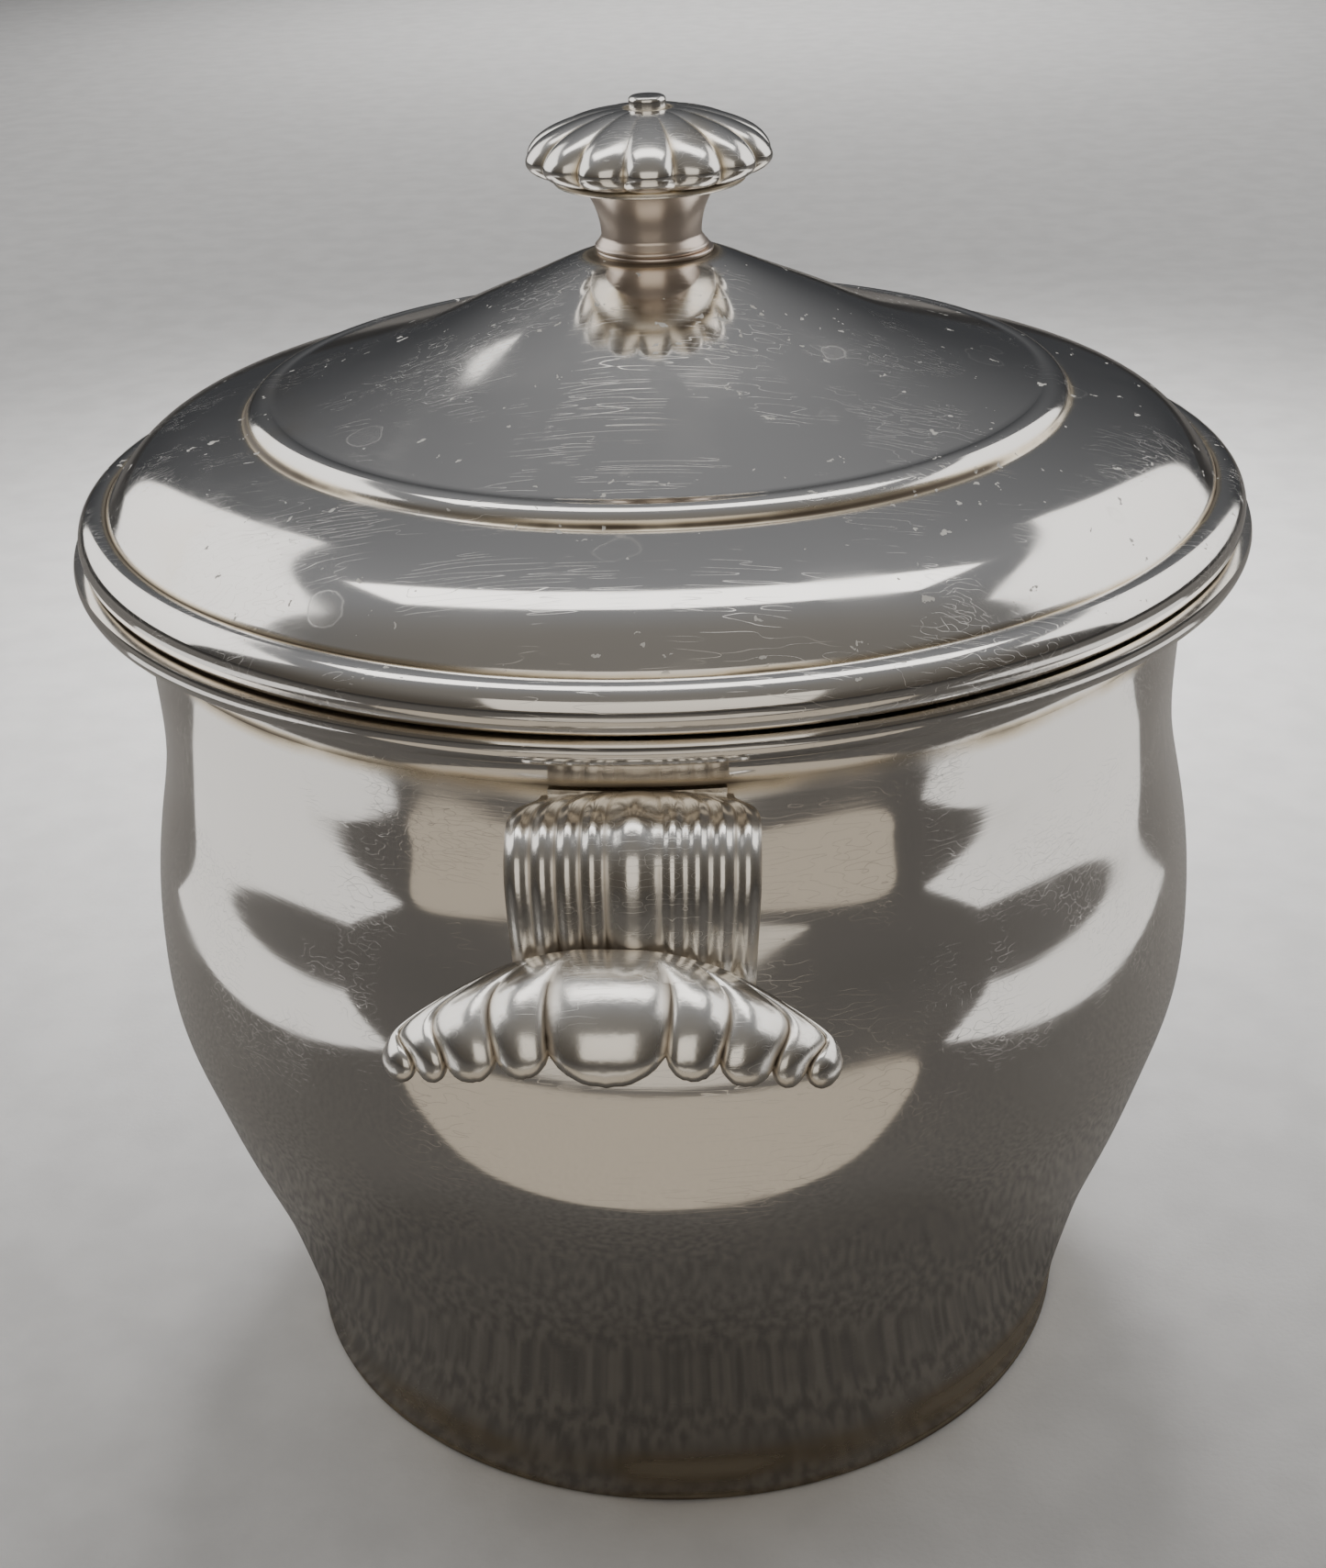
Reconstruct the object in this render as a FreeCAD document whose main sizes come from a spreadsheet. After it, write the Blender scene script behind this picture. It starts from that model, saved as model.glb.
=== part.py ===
import FreeCAD, Part
import Sketcher
import math
import os

# Lidded silver-plated ice bucket with two scallop-shell handles and a glass vacuum liner.
# Millimetres, +Z up, origin on the table under the bucket's axis, handles on -Y and +Y.

V = FreeCAD.Vector
os.makedirs("parts", exist_ok=True)
doc = FreeCAD.newDocument("ice_bucket")

# ---------------------------------------------------------------- driving dimensions
DIMENSIONS = {
    "sheet_wall": 1.2,
    "foot_radius": 69.4,
    "foot_inner_radius": 66.0,
    "belly_radius": 88.8,
    "belly_height": 82.5,
    "neck_radius": 84.2,
    "neck_height": 131.0,
    "mouth_height": 151.0,
    "rim_radius": 94.2,
    "rim_top": 151.35,
    "rim_band_bottom": 148.6,
    "cove_bottom": 141.0,
    "ledge_height": 8.0,
    "ledge_radius": 58.0,
    "plate_radius": 65.6,
    "seat_floor": 9.2,
    "seat_radius": 64.0,
    "cushion_radius": 62.8,
    "glass_outer_radius": 71.0,
    "glass_inner_radius": 62.2,
    "glass_wall": 2.0,
    "glass_bottom": 18.0,
    "glass_top": 146.0,
    "collar_inner_radius": 62.7,
    "collar_outer_radius": 82.95,
    "collar_bottom": 147.0,
    "lid_edge_radius": 93.0,
    "lid_seam": 151.7,
    "lid_crease_radius": 88.2,
    "lid_crease_height": 158.1,
    "lid_groove_radius": 66.2,
    "lid_groove_height": 169.6,
    "lid_top_radius": 9.2,
    "lid_top_height": 191.9,
    "plug_radius": 61.1,
    "plug_bottom": 142.0,
    "pan_flange_bottom": 152.2,
    "pan_flange_radius": 87.55,
    "stud_radius": 2.0,
    "stud_bore": 2.1,
    "knob_washer_radius": 9.1,
    "knob_washer_shift": 0.5,
    "stem_foot_height": 192.5,
    "stem_foot_radius": 8.6,
    "stem_top_radius": 10.9,
    "flange_bottom": 202.7,
    "flange_radius": 14.9,
    "knob_lobes": 14,
    "knob_turn": 3.0,
    "button_radius": 2.85,
    "button_foot": 213.5,
    "knob_top": 215.4,
    "strap_thickness": 3.0,
    "pad_thickness": 1.6,
    "pad_bottom": 133.5,
    "pad_top": 140.7,
    "pad_angle": 16.0,
    "shell_thickness": 1.8,
    "shell_pivot_reach": 104.5,
    "shell_pivot_height": 110.3,
    "shell_offset": -2.4,
    "shell_tilt": 1.3,
}

sheet = doc.addObject("Spreadsheet::Sheet", "dims")
for row, (alias, value) in enumerate(DIMENSIONS.items(), start=1):
    sheet.set("A%d" % row, alias)
    sheet.set("B%d" % row, str(value))
    sheet.setAlias("B%d" % row, alias)
doc.recompute()


def dim(alias):
    """Value of one cell of the sheet."""
    return float(sheet.get(alias))


# ---------------------------------------------------------------- building blocks
def number(entry):
    """A coordinate is a number, a cell's alias, or an alias with a number added to it."""
    if isinstance(entry, str):
        return dim(entry)
    if isinstance(entry, tuple):
        return dim(entry[0]) + entry[1]
    return float(entry)


def formula(entry):
    """The same coordinate as an expression on the sheet, or None for a plain number."""
    if isinstance(entry, str):
        return "dims.%s" % entry
    if isinstance(entry, tuple):
        return "dims.%s + (%s)" % entry
    return None


def new_body(label):
    body = doc.addObject("PartDesign::Body", label)
    body.Label = label
    return body


def origin_plane(body, role):
    for feature in body.Origin.OriginFeatures:
        if feature.Role == role:
            return feature
    raise ValueError(role)


def new_sketch(body, name, role, offset=None):
    sketch = body.newObject("Sketcher::SketchObject", body.Name + "_" + name)
    sketch.AttachmentSupport = [(origin_plane(body, role), "")]
    sketch.MapMode = "FlatFace"
    if offset is not None:
        sketch.AttachmentOffset = offset
    return sketch


def round_edge(start, through, end):
    """The arc through three points, drawn counter-clockwise as sketches keep their arcs."""
    circle = Part.Arc(start, through, end).toShape().Curve
    centre = circle.Center
    first, middle, last = [math.atan2(p.y - centre.y, p.x - centre.x) for p in (start, through, end)]
    full = 2 * math.pi
    if (middle - first) % full > (last - first) % full:
        first, last = last, first
    around = Part.Circle(centre, V(0, 0, 1), circle.Radius)
    return Part.ArcOfCircle(around, first, first + (last - first) % full)


def curve_for(step, start, end):
    """One edge of an outline: a straight line, an arc through a middle point, or a spline."""
    if step[0] == "line":
        return Part.LineSegment(start, end)
    through = [V(number(x), number(y), 0) for x, y in step[1:-1]]
    if step[0] == "arc":
        return round_edge(start, through[0], end)
    spline = Part.BSplineCurve()
    spline.interpolate([start] + through + [end])
    return spline


def point_index(sketch, geometry, corner):
    """1 or 2: the end of that edge which stands at the corner."""
    gaps = [sketch.getPoint(geometry, end).distanceToPoint(corner) for end in (1, 2)]
    return 1 + gaps.index(min(gaps))


def draw(sketch, start, steps, tied=True):
    """Closes an outline through corners and, if asked, ties every corner to its cells."""
    entries = [start] + [step[-1] for step in steps]
    corners = [V(number(x), number(y), 0) for x, y in entries]
    steps = steps + [("line", start)]
    corners.append(corners[0])
    edges = []
    for step, begin, end in zip(steps, corners[:-1], corners[1:]):
        edges.append(sketch.addGeometry(curve_for(step, begin, end), False))
    for edge, step in zip(edges, steps):
        if step[0] == "arc":
            sketch.addConstraint(Sketcher.Constraint("Radius", edge, sketch.Geometry[edge].Radius))
    for index, entry in enumerate(entries):
        corner = corners[index]
        edge = edges[index]
        before = edges[index - 1]
        end = point_index(sketch, edge, corner)
        sketch.addConstraint(
            Sketcher.Constraint("Coincident", before, point_index(sketch, before, corner), edge, end))
        if not tied:
            continue
        for axis, kind, along in ((0, "DistanceX", corner.x), (1, "DistanceY", corner.y)):
            if abs(along) < 1e-9:
                sketch.addConstraint(Sketcher.Constraint("PointOnObject", edge, end, -2 + axis))
                continue
            rule = sketch.addConstraint(Sketcher.Constraint(kind, edge, end, along))
            if formula(entry[axis]) is not None:
                sketch.setExpression("Constraints[%d]" % rule, formula(entry[axis]))


def turned(label, start, steps, angle=None):
    """A body of revolution about the bucket's axis; with an angle, a sector facing -Y."""
    body = new_body(label)
    role = "XZ_Plane" if angle is None else "YZ_Plane"
    sketch = new_sketch(body, "outline", role)
    draw(sketch, start, steps)
    spin = body.newObject("PartDesign::Revolution", label + "_spin")
    spin.Profile = sketch
    spin.ReferenceAxis = (sketch, ["V_Axis"])
    spin.Angle = 360.0
    if angle is not None:
        spin.Midplane = True
        spin.setExpression("Angle", "dims.%s" % angle)
    body.Tip = spin
    return body


def bore(body, name, radius, role, height, depth, reverse=False):
    """A round pocket on the axis, from a level of the body down (or up when reversed)."""
    sketch = new_sketch(body, name, role, FreeCAD.Placement(V(0, 0, height), FreeCAD.Rotation()))
    circle = sketch.addGeometry(Part.Circle(V(0, 0, 0), V(0, 0, 1), dim(radius)), False)
    sketch.addConstraint(Sketcher.Constraint("Coincident", circle, 3, -1, 1))
    tied = sketch.addConstraint(Sketcher.Constraint("Radius", circle, dim(radius)))
    sketch.setExpression("Constraints[%d]" % tied, "dims.%s" % radius)
    pocket = body.newObject("PartDesign::Pocket", body.Name + "_" + name + "_cut")
    pocket.Profile = sketch
    pocket.Length = depth
    pocket.Reversed = reverse
    body.Tip = pocket
    return pocket


def arch_point(x, half_width, top, end):
    """Height of an arch of that half width that falls from its top to its ends."""
    sag = top - end
    radius = (half_width ** 2 + sag ** 2) / (2 * sag)
    return top - radius + math.sqrt(radius ** 2 - x ** 2)


def fluted_outline(edges, half_width, top, end, puff, thickness):
    """Outline of a ribbed sheet: one arc per rib on its face, one plain arch behind it."""
    sides = [-edge for edge in reversed(edges)] + list(edges)
    corners = [(x, arch_point(x, half_width, top, end)) for x in sides]
    steps = []
    for (x0, y0), (x1, y1) in zip(corners[:-1], corners[1:]):
        middle = ((x0 + x1) / 2, (y0 + y1) / 2 + puff * (x1 - x0))
        steps.append(("arc", middle, (x1, y1)))
    foot = (half_width - thickness * 0.7, end - thickness)
    steps.append(("line", foot))
    steps.append(("arc", (0.0, top - thickness), (-foot[0], foot[1])))
    return corners[0], steps


def lofted(label, sections):
    """A body through outlines, each on its own plane across the handle's path."""
    body = new_body(label)
    sketches = []
    for index, (reach, height, tilt, outline) in enumerate(sections):
        offset = FreeCAD.Placement(V(0, height, reach), FreeCAD.Rotation(V(1, 0, 0), tilt))
        sketch = new_sketch(body, "section%d" % index, "XZ_Plane", offset)
        draw(sketch, *outline, tied=False)
        sketches.append(sketch)
    loft = body.newObject("PartDesign::AdditiveLoft", label + "_loft")
    loft.Profile = sketches[0]
    loft.Sections = sketches[1:]
    body.Tip = loft
    return body


HALF_TURN = FreeCAD.Placement(V(0, 0, 0), FreeCAD.Rotation(V(0, 0, 1), 180))
nodes = []


def keep(thing):
    nodes.append(thing)
    return thing


# ---------------------------------------------------------------- bucket body
# The outside of the spun wall from the foot to the neck, bottom to top.
WALL = [(70.2, 9.0), (72.3, 18.8), (76.0, 32.5), (81.2, 47.0), (85.6, 61.2), (88.1, 70.8),
        ("belly_radius", "belly_height"), (88.0, 95.0), (86.2, 105.5), (84.4, 115.0)]
WALL_INSIDE = [(number(x) - dim("sheet_wall"), y) for x, y in reversed(WALL)]

keep(turned("body_shell", (68.6, 0.0), [
    ("arc", (69.2, 0.3), ("foot_radius", 1.0)),
    ("spline", *WALL, ("neck_radius", "neck_height")),
    ("line", ("neck_radius", "mouth_height")),
    ("line", (("neck_radius", -dim("sheet_wall")), "mouth_height")),
    ("line", (("neck_radius", -dim("sheet_wall")), "neck_height")),
    ("spline", *WALL_INSIDE, (("foot_radius", -dim("sheet_wall")), 1.3)),
    ("line", (67.2, 1.3)),
    ("line", (67.2, ("ledge_height", 1.2))),
    ("line", ("ledge_radius", ("ledge_height", 1.2))),
    ("line", ("ledge_radius", "ledge_height")),
    ("line", ("foot_inner_radius", "ledge_height")),
    ("line", ("foot_inner_radius", 0.0)),
]))

keep(turned("rim_moulding", (84.25, ("cove_bottom", 0.0)), [
    ("line", (85.2, "cove_bottom")),
    ("arc", (87.0, 146.0), (91.9, 148.3)),
    ("arc", (92.9, 147.9), (("rim_radius", -0.5), "rim_band_bottom")),
    ("arc", ("rim_radius", 149.9), (("rim_radius", -0.2), "rim_top")),
    ("line", (84.25, "rim_top")),
]))

# ---------------------------------------------------------------- bottom of the bucket
keep(turned("base_plate", (2.6, 8.0), [
    ("line", (2.6, 6.8)),
    ("line", (14.0, 6.8)),
    ("arc", (36.0, 5.9), (56.0, 6.8)),
    ("line", ("plate_radius", 6.8)),
    ("line", ("plate_radius", "ledge_height")),
    ("line", (56.0, "ledge_height")),
    ("arc", (36.0, 7.1), (14.0, 8.0)),
]))

keep(turned("flask_seat", (2.6, ("seat_floor", 1.0)), [
    ("line", (2.6, "seat_floor")),
    ("line", (("seat_radius", -1.0), "seat_floor")),
    ("arc", (63.7, 9.5), ("seat_radius", 10.2)),
    ("line", ("seat_radius", 16.0)),
    ("line", (("seat_radius", -1.0), 16.0)),
    ("line", (("seat_radius", -1.0), ("seat_floor", 1.0))),
]))

keep(turned("base_screw", (0.0, 12.2), [
    ("line", (0.0, 1.6)),
    ("line", (2.1, 1.6)),
    ("line", (2.5, 2.0)),
    ("line", (2.5, 10.2)),
    ("line", (4.8, 10.2)),
    ("line", (4.8, 11.2)),
    ("arc", (4.4, 11.9), (3.6, 12.2)),
]))

keep(turned("base_washer", (2.6, 6.2), [
    ("line", (6.0, 6.2)),
    ("line", (6.0, 6.8)),
    ("line", (2.6, 6.8)),
]))


def hex_nut(label, width, bottom, height, radius):
    """A hexagon nut on the axis, with its bore and a chamfered lower face."""
    body = new_body(label)
    sketch = new_sketch(body, "hexagon", "XY_Plane",
                        FreeCAD.Placement(V(0, 0, bottom), FreeCAD.Rotation()))
    reach = width / math.sqrt(3)
    corners = [V(reach * math.cos(math.radians(60 * k)), reach * math.sin(math.radians(60 * k)), 0)
               for k in range(6)]
    for k in range(6):
        sketch.addGeometry(Part.LineSegment(corners[k], corners[(k + 1) % 6]), False)
    for k in range(6):
        sketch.addConstraint(Sketcher.Constraint("Coincident", k, 2, (k + 1) % 6, 1))
    sketch.addGeometry(Part.Circle(V(0, 0, 0), V(0, 0, 1), radius), False)
    pad = body.newObject("PartDesign::Pad", label + "_pad")
    pad.Profile = sketch
    pad.Length = height
    body.Tip = pad
    return body


keep(hex_nut("base_nut", 8.0, 3.0, 3.2, 2.51))

# ---------------------------------------------------------------- vacuum flask
keep(turned("flask_outer", (0.0, "glass_bottom"), [
    ("arc", (20.6, 18.6), (40.0, 21.5)),
    ("arc", (61.0, 32.0), ("glass_outer_radius", 52.0)),
    ("line", ("glass_outer_radius", 144.0)),
    ("line", (("glass_outer_radius", -2.0), 144.0)),
    ("line", (("glass_outer_radius", -2.0), 52.0)),
    ("arc", (59.4, 33.3), (39.4, 23.5)),
    ("arc", (20.2, 20.6), (0.0, ("glass_bottom", 2.0))),
]))

keep(turned("flask_inner", (0.0, 24.5), [
    ("arc", (18.0, 25.1), (36.0, 28.2)),
    ("arc", (55.0, 37.5), (("glass_inner_radius", 2.0), 55.0)),
    ("line", (("glass_inner_radius", 2.0), 142.6)),
    ("arc", (64.6, 143.6), (65.6, 144.0)),
    ("line", (70.4, 144.0)),
    ("arc", (71.0, 145.0), (70.2, "glass_top")),
    ("line", (63.4, "glass_top")),
    ("arc", (62.5, 145.4), ("glass_inner_radius", 144.4)),
    ("line", ("glass_inner_radius", 55.0)),
    ("arc", (53.4, 38.8), (35.4, 30.2)),
    ("arc", (17.7, 27.1), (0.0, 26.5)),
]))

keep(turned("flask_tip", (0.0, 14.6), [
    ("arc", (1.8, 15.2), (2.6, 17.0)),
    ("line", (2.6, ("glass_bottom", -0.08))),
    ("line", (0.0, ("glass_bottom", -0.08))),
]))


def spacer_pads():
    """Three round pads that hold the two glass walls apart, one node of separate solids."""
    pads = []
    for turn in (30, 150, 270):
        pad = doc.addObject("Part::Cylinder", "flask_spacer")
        pad.Radius = 4.0
        pad.setExpression("Height", "dims.glass_outer_radius - dims.glass_inner_radius"
                                    " - 2 * dims.glass_wall - 0.25")
        direction = V(math.cos(math.radians(turn)), math.sin(math.radians(turn)), 0)
        start = direction * (dim("glass_inner_radius") + dim("glass_wall") + 0.05)
        pad.Placement = FreeCAD.Placement(start + V(0, 0, 80), FreeCAD.Rotation(V(0, 0, 1), direction))
        pads.append(pad)
    group = doc.addObject("Part::Compound", "flask_spacers")
    group.Label = "flask_spacers"
    group.Links = pads
    return group


keep(spacer_pads())

keep(turned("flask_cushion", (12.0, 10.2), [
    ("line", ("cushion_radius", 10.2)),
    ("line", ("cushion_radius", 33.4)),
    ("arc", (54.5, 26.3), (44.0, 21.9)),
    ("line", (42.0, 21.5)),
    ("arc", (27.0, 18.9), (12.0, 17.9)),
]))

keep(turned("mouth_gasket", (63.2, "glass_top"), [
    ("line", (71.0, "glass_top")),
    ("line", (71.0, "collar_bottom")),
    ("line", (63.2, "collar_bottom")),
]))

keep(turned("mouth_collar", ("collar_inner_radius", "collar_bottom"), [
    ("line", (71.3, "collar_bottom")),
    ("line", (71.3, 138.0)),
    ("line", (73.3, 138.0)),
    ("line", (74.3, 144.5)),
    ("line", ("collar_outer_radius", 144.5)),
    ("line", ("collar_outer_radius", "mouth_height")),
    ("line", (("collar_inner_radius", 1.0), "mouth_height")),
    ("arc", (63.0, 150.7), ("collar_inner_radius", 150.0)),
]))

# ---------------------------------------------------------------- handles
# The shell is soldered to its strap a little off centre, turned by shell_tilt degrees.
# Stations along the strap: reach, height, tilt, half width, rib puff.
STRAP = [(84.0, 140.4, 0.0, 12.8, 0.02), (87.6, 141.2, 0.0, 13.2, 0.04), (90.4, 141.6, 4.0, 15.2, 0.1),
         (93.6, 141.6, 10.0, 16.3, 0.16), (97.2, 140.5, 26.0, 16.5, 0.2), (100.0, 138.1, 48.0, 16.5, 0.2),
         (101.8, 134.2, 70.0, 16.4, 0.2), (103.1, 128.4, 80.0, 16.0, 0.2), (103.5, 121.0, 90.0, 15.5, 0.18)]
# Stations of the shell: angle of its plane, top, end, half width, rib spread, rib puff.
SHELL = [(90.0, 17.5, 6.5, 26.0, 0.4, 0.03), (69.3, 17.9, 6.0, 28.6, 0.8, 0.08),
         (51.6, 17.9, 5.8, 29.8, 0.98, 0.13), (35.7, 17.1, 5.6, 30.4, 1.03, 0.16),
         (21.5, 15.6, 5.4, 30.5, 1.02, 0.17), (4.0, 14.0, 5.4, 30.0, 1.0, 0.17)]
STRAP_RIBS = [0.215, 0.41, 0.605, 0.8, 1.0]
SHELL_RIBS = [0.23, 0.457, 0.687, 0.835, 1.0]
# Lower edge of the shell seen from the front: valley and lowest point of each lobe.
LIP_VALLEYS = [119.8, 118.1, 115.9, 114.4, 113.6]
LIP_LOWEST = [118.4, 118.2, 116.3, 114.2, 112.7]


def strap_sections():
    sections = []
    for reach, height, tilt, half, puff in STRAP:
        edges = [half * rib for rib in STRAP_RIBS]
        outline = fluted_outline(edges, half, 0.0, -0.8, puff, dim("strap_thickness"))
        sections.append((reach, height, tilt, outline))
    return sections


def shell_sections():
    sections = []
    for angle, top, end, half, spread, puff in SHELL:
        edges = [half * rib * spread for rib in SHELL_RIBS[:-1]] + [half]
        outline = fluted_outline(edges, half, top, end, puff, dim("shell_thickness"))
        sections.append((dim("shell_pivot_reach"), dim("shell_pivot_height"), 90.0 - angle, outline))
    return sections


def scallop_lip(body):
    """Trims the shell's lower edge to one round tongue per lobe."""
    half = SHELL[-1][3]
    marks = [half * rib for rib in SHELL_RIBS]
    valleys = [(-x, z) for x, z in zip(reversed(marks), reversed(LIP_VALLEYS))]
    valleys += list(zip(marks, LIP_VALLEYS))
    lowest = LIP_LOWEST[:0:-1] + LIP_LOWEST
    steps = [("line", (-40.0, LIP_VALLEYS[-1])), ("line", valleys[0])]
    for (x0, z0), (x1, z1), low in zip(valleys[:-1], valleys[1:], lowest):
        steps.append(("arc", ((x0 + x1) / 2, low), (x1, z1)))
    steps += [("line", (40.0, LIP_VALLEYS[-1])), ("line", (40.0, 90.0))]
    sketch = new_sketch(body, "lip", "XZ_Plane")
    draw(sketch, (-40.0, 90.0), steps, tied=False)
    cut = body.newObject("PartDesign::Pocket", body.Name + "_lip_cut")
    cut.Profile = sketch
    cut.Type = 1
    cut.Reversed = True
    body.Tip = cut


def handle(side, placement):
    """Mounting pad, fluted strap and scallop shell of one handle."""
    outside = 0.05 + dim("pad_thickness")
    pad = turned("handle_pad_" + side, (("neck_radius", 0.05), "pad_bottom"), [
        ("line", (("neck_radius", outside), "pad_bottom")),
        ("line", (("neck_radius", outside), "pad_top")),
        ("line", (("neck_radius", 0.05), "pad_top")),
    ], angle="pad_angle")
    shell = lofted("handle_shell_" + side, shell_sections())
    scallop_lip(shell)
    hinge = V(0, -dim("shell_pivot_reach"), dim("shell_pivot_height") + 10)
    lean = FreeCAD.Rotation(V(0, 1, 0), dim("shell_tilt"))
    seat = FreeCAD.Placement(V(dim("shell_offset"), 0, 0), lean, hinge)
    shell.Placement = placement.multiply(seat)
    blank = lofted("strap_blank_" + side, strap_sections())
    blank.Placement = placement
    core = doc.addObject("Part::Cylinder", "wall_core_" + side)
    core.setExpression("Radius", "dims.neck_radius + 0.05 + dims.pad_thickness")
    core.Height = 200
    trimmed = doc.addObject("Part::Cut", "strap_trimmed_" + side)
    trimmed.Base = blank
    trimmed.Tool = core
    strap = doc.addObject("Part::Cut", "handle_strap_" + side)
    strap.Base = trimmed
    strap.Tool = shell
    strap.Label = "handle_strap_" + side
    pad.Placement = placement
    for piece in (pad, shell, strap):
        keep(piece)


handle("front", FreeCAD.Placement())
handle("back", HALF_TURN)

# ---------------------------------------------------------------- lid
DOME = [(49.5, 175.8), (38.0, 179.8), (28.5, 184.0), (20.0, 187.7), (14.5, 190.2), (11.0, 191.5)]
DOME_INSIDE = [(x, z - 1.1) for x, z in reversed(DOME)]

keep(turned("lid_shell", ("lid_crease_radius", ("lid_crease_height", -1.0)), [
    ("line", ("lid_crease_radius", "lid_crease_height")),
    ("spline", (82.5, 164.3), (74.0, 167.8), ("lid_groove_radius", "lid_groove_height")),
    ("arc", (65.3, 170.0), (64.9, 170.7)),
    ("arc", (63.5, 172.0), (61.0, 172.3)),
    ("spline", *DOME, ("lid_top_radius", "lid_top_height")),
    ("line", ("stud_bore", "lid_top_height")),
    ("line", ("stud_bore", ("lid_top_height", -1.0))),
    ("line", (8.8, ("lid_top_height", -1.0))),
    ("spline", *DOME_INSIDE, (60.8, 171.2)),
    ("arc", (62.8, 170.8), (63.7, 169.8)),
    ("arc", (64.4, 168.9), (65.8, 168.5)),
    ("spline", (73.7, 166.7), (81.9, 163.4), (86.6, 158.2)),
    ("line", (("lid_crease_radius", -1.0), ("lid_crease_height", -1.0))),
]))

keep(turned("lid_moulding", (("lid_edge_radius", -1.0), "lid_seam"), [
    ("arc", ("lid_edge_radius", 154.7), (("lid_crease_radius", 0.05), "lid_crease_height")),
    ("line", (("lid_crease_radius", 0.05), ("lid_crease_height", -1.05))),
    ("line", (85.5, ("lid_crease_height", -1.05))),
    ("line", (85.5, 153.05)),
    ("line", (("pan_flange_radius", 0.05), 153.05)),
    ("line", (("pan_flange_radius", 0.05), "lid_seam")),
]))

keep(turned("lid_pan", (0.0, "plug_bottom"), [
    ("line", (58.6, "plug_bottom")),
    ("arc", (60.4, 142.7), ("plug_radius", 144.5)),
    ("line", ("plug_radius", "pan_flange_bottom")),
    ("line", ("pan_flange_radius", "pan_flange_bottom")),
    ("line", ("pan_flange_radius", ("pan_flange_bottom", 0.8))),
    ("line", (("plug_radius", -0.8), ("pan_flange_bottom", 0.8))),
    ("line", (("plug_radius", -0.8), 144.5)),
    ("arc", (59.8, 143.3), (58.6, ("plug_bottom", 0.8))),
    ("line", (0.0, ("plug_bottom", 0.8))),
]))

keep(turned("lid_seal", ("plug_radius", 145.6), [
    ("arc", (61.5, 145.0), (62.2, 145.2)),
    ("line", (62.6, 146.4)),
    ("line", (62.6, 150.0)),
    ("arc", (62.9, 150.8), (63.8, 151.02)),
    ("line", (77.0, 151.02)),
    ("line", (77.6, 151.6)),
    ("line", (77.0, 152.18)),
    ("line", (61.2, 152.18)),
    ("line", (61.2, 145.9)),
]))

keep(turned("lid_insulation", (0.0, 142.9), [
    ("line", (58.0, 142.9)),
    ("line", (60.2, 145.2)),
    ("line", (60.2, 153.0)),
    ("line", (0.0, 153.0)),
]))

# ---------------------------------------------------------------- knob
washer = keep(turned("knob_washer", (3.2, "lid_top_height"), [
    ("line", ("knob_washer_radius", "lid_top_height")),
    ("line", ("knob_washer_radius", "stem_foot_height")),
    ("line", (3.2, "stem_foot_height")),
]))
washer.setExpression("Placement.Base.x", "dims.knob_washer_shift")

keep(turned("knob_stem", ("stud_bore", "stem_foot_height"), [
    ("line", ("stem_foot_radius", "stem_foot_height")),
    ("arc", (("stem_foot_radius", 0.3), 192.9), ("stem_foot_radius", 193.4)),
    ("arc", (("stem_foot_radius", -0.4), 196.4), ("stem_top_radius", "flange_bottom")),
    ("line", ("stud_bore", "flange_bottom")),
]))

keep(turned("knob_flange", ("stud_bore", "flange_bottom"), [
    ("line", (("flange_radius", -0.5), "flange_bottom")),
    ("arc", ("flange_radius", ("flange_bottom", 0.6)), (("flange_radius", -0.5), ("flange_bottom", 1.2))),
    ("line", ("stud_bore", ("flange_bottom", 1.2))),
]))

# Levels of the melon knob: height, radius at the tops of its lobes, depth of its creases.
KNOB = [(203.9, 15.2, 0.7), (204.8, 17.8, 1.3), (206.3, 19.1, 1.7), (208.6, 18.2, 1.7),
        (210.8, 15.2, 1.4), (212.5, 10.6, 1.0), (213.5, 5.6, 0.5)]


def melon_section(body, index, height, radius, crease):
    lobes = int(dim("knob_lobes"))
    sketch = new_sketch(body, "level%d" % index, "XY_Plane",
                        FreeCAD.Placement(V(0, 0, height), FreeCAD.Rotation()))
    step = 2 * math.pi / lobes
    front = math.radians(dim("knob_turn") - 90)
    for k in range(lobes):
        turns = (front + (k - 0.5) * step, front + k * step, front + (k + 0.5) * step)
        radii = (radius - crease, radius, radius - crease)
        points = [V(r * math.cos(t), r * math.sin(t), 0) for r, t in zip(radii, turns)]
        sketch.addGeometry(round_edge(*points), False)
    for k in range(lobes):
        sketch.addConstraint(Sketcher.Constraint("Coincident", k, 2, (k + 1) % lobes, 1))
    return sketch


def melon_knob():
    """The cast knob: lofted through lobed levels, bored from below for its stud."""
    body = new_body("knob_cap")
    levels = [melon_section(body, index, *level) for index, level in enumerate(KNOB)]
    loft = body.newObject("PartDesign::AdditiveLoft", "knob_cap_loft")
    loft.Profile = levels[0]
    loft.Sections = levels[1:]
    body.Tip = loft
    doc.recompute()
    bore(body, "stud_hole", "stud_bore", "XY_Plane", KNOB[0][0], 8.0, reverse=True)
    return body


keep(melon_knob())

keep(turned("knob_button", (0.0, "button_foot"), [
    ("line", ("button_radius", "button_foot")),
    ("line", ("button_radius", ("knob_top", -0.7))),
    ("arc", (("button_radius", -0.2), ("knob_top", -0.2)), (("button_radius", -0.7), "knob_top")),
    ("line", (0.0, "knob_top")),
]))

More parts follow.
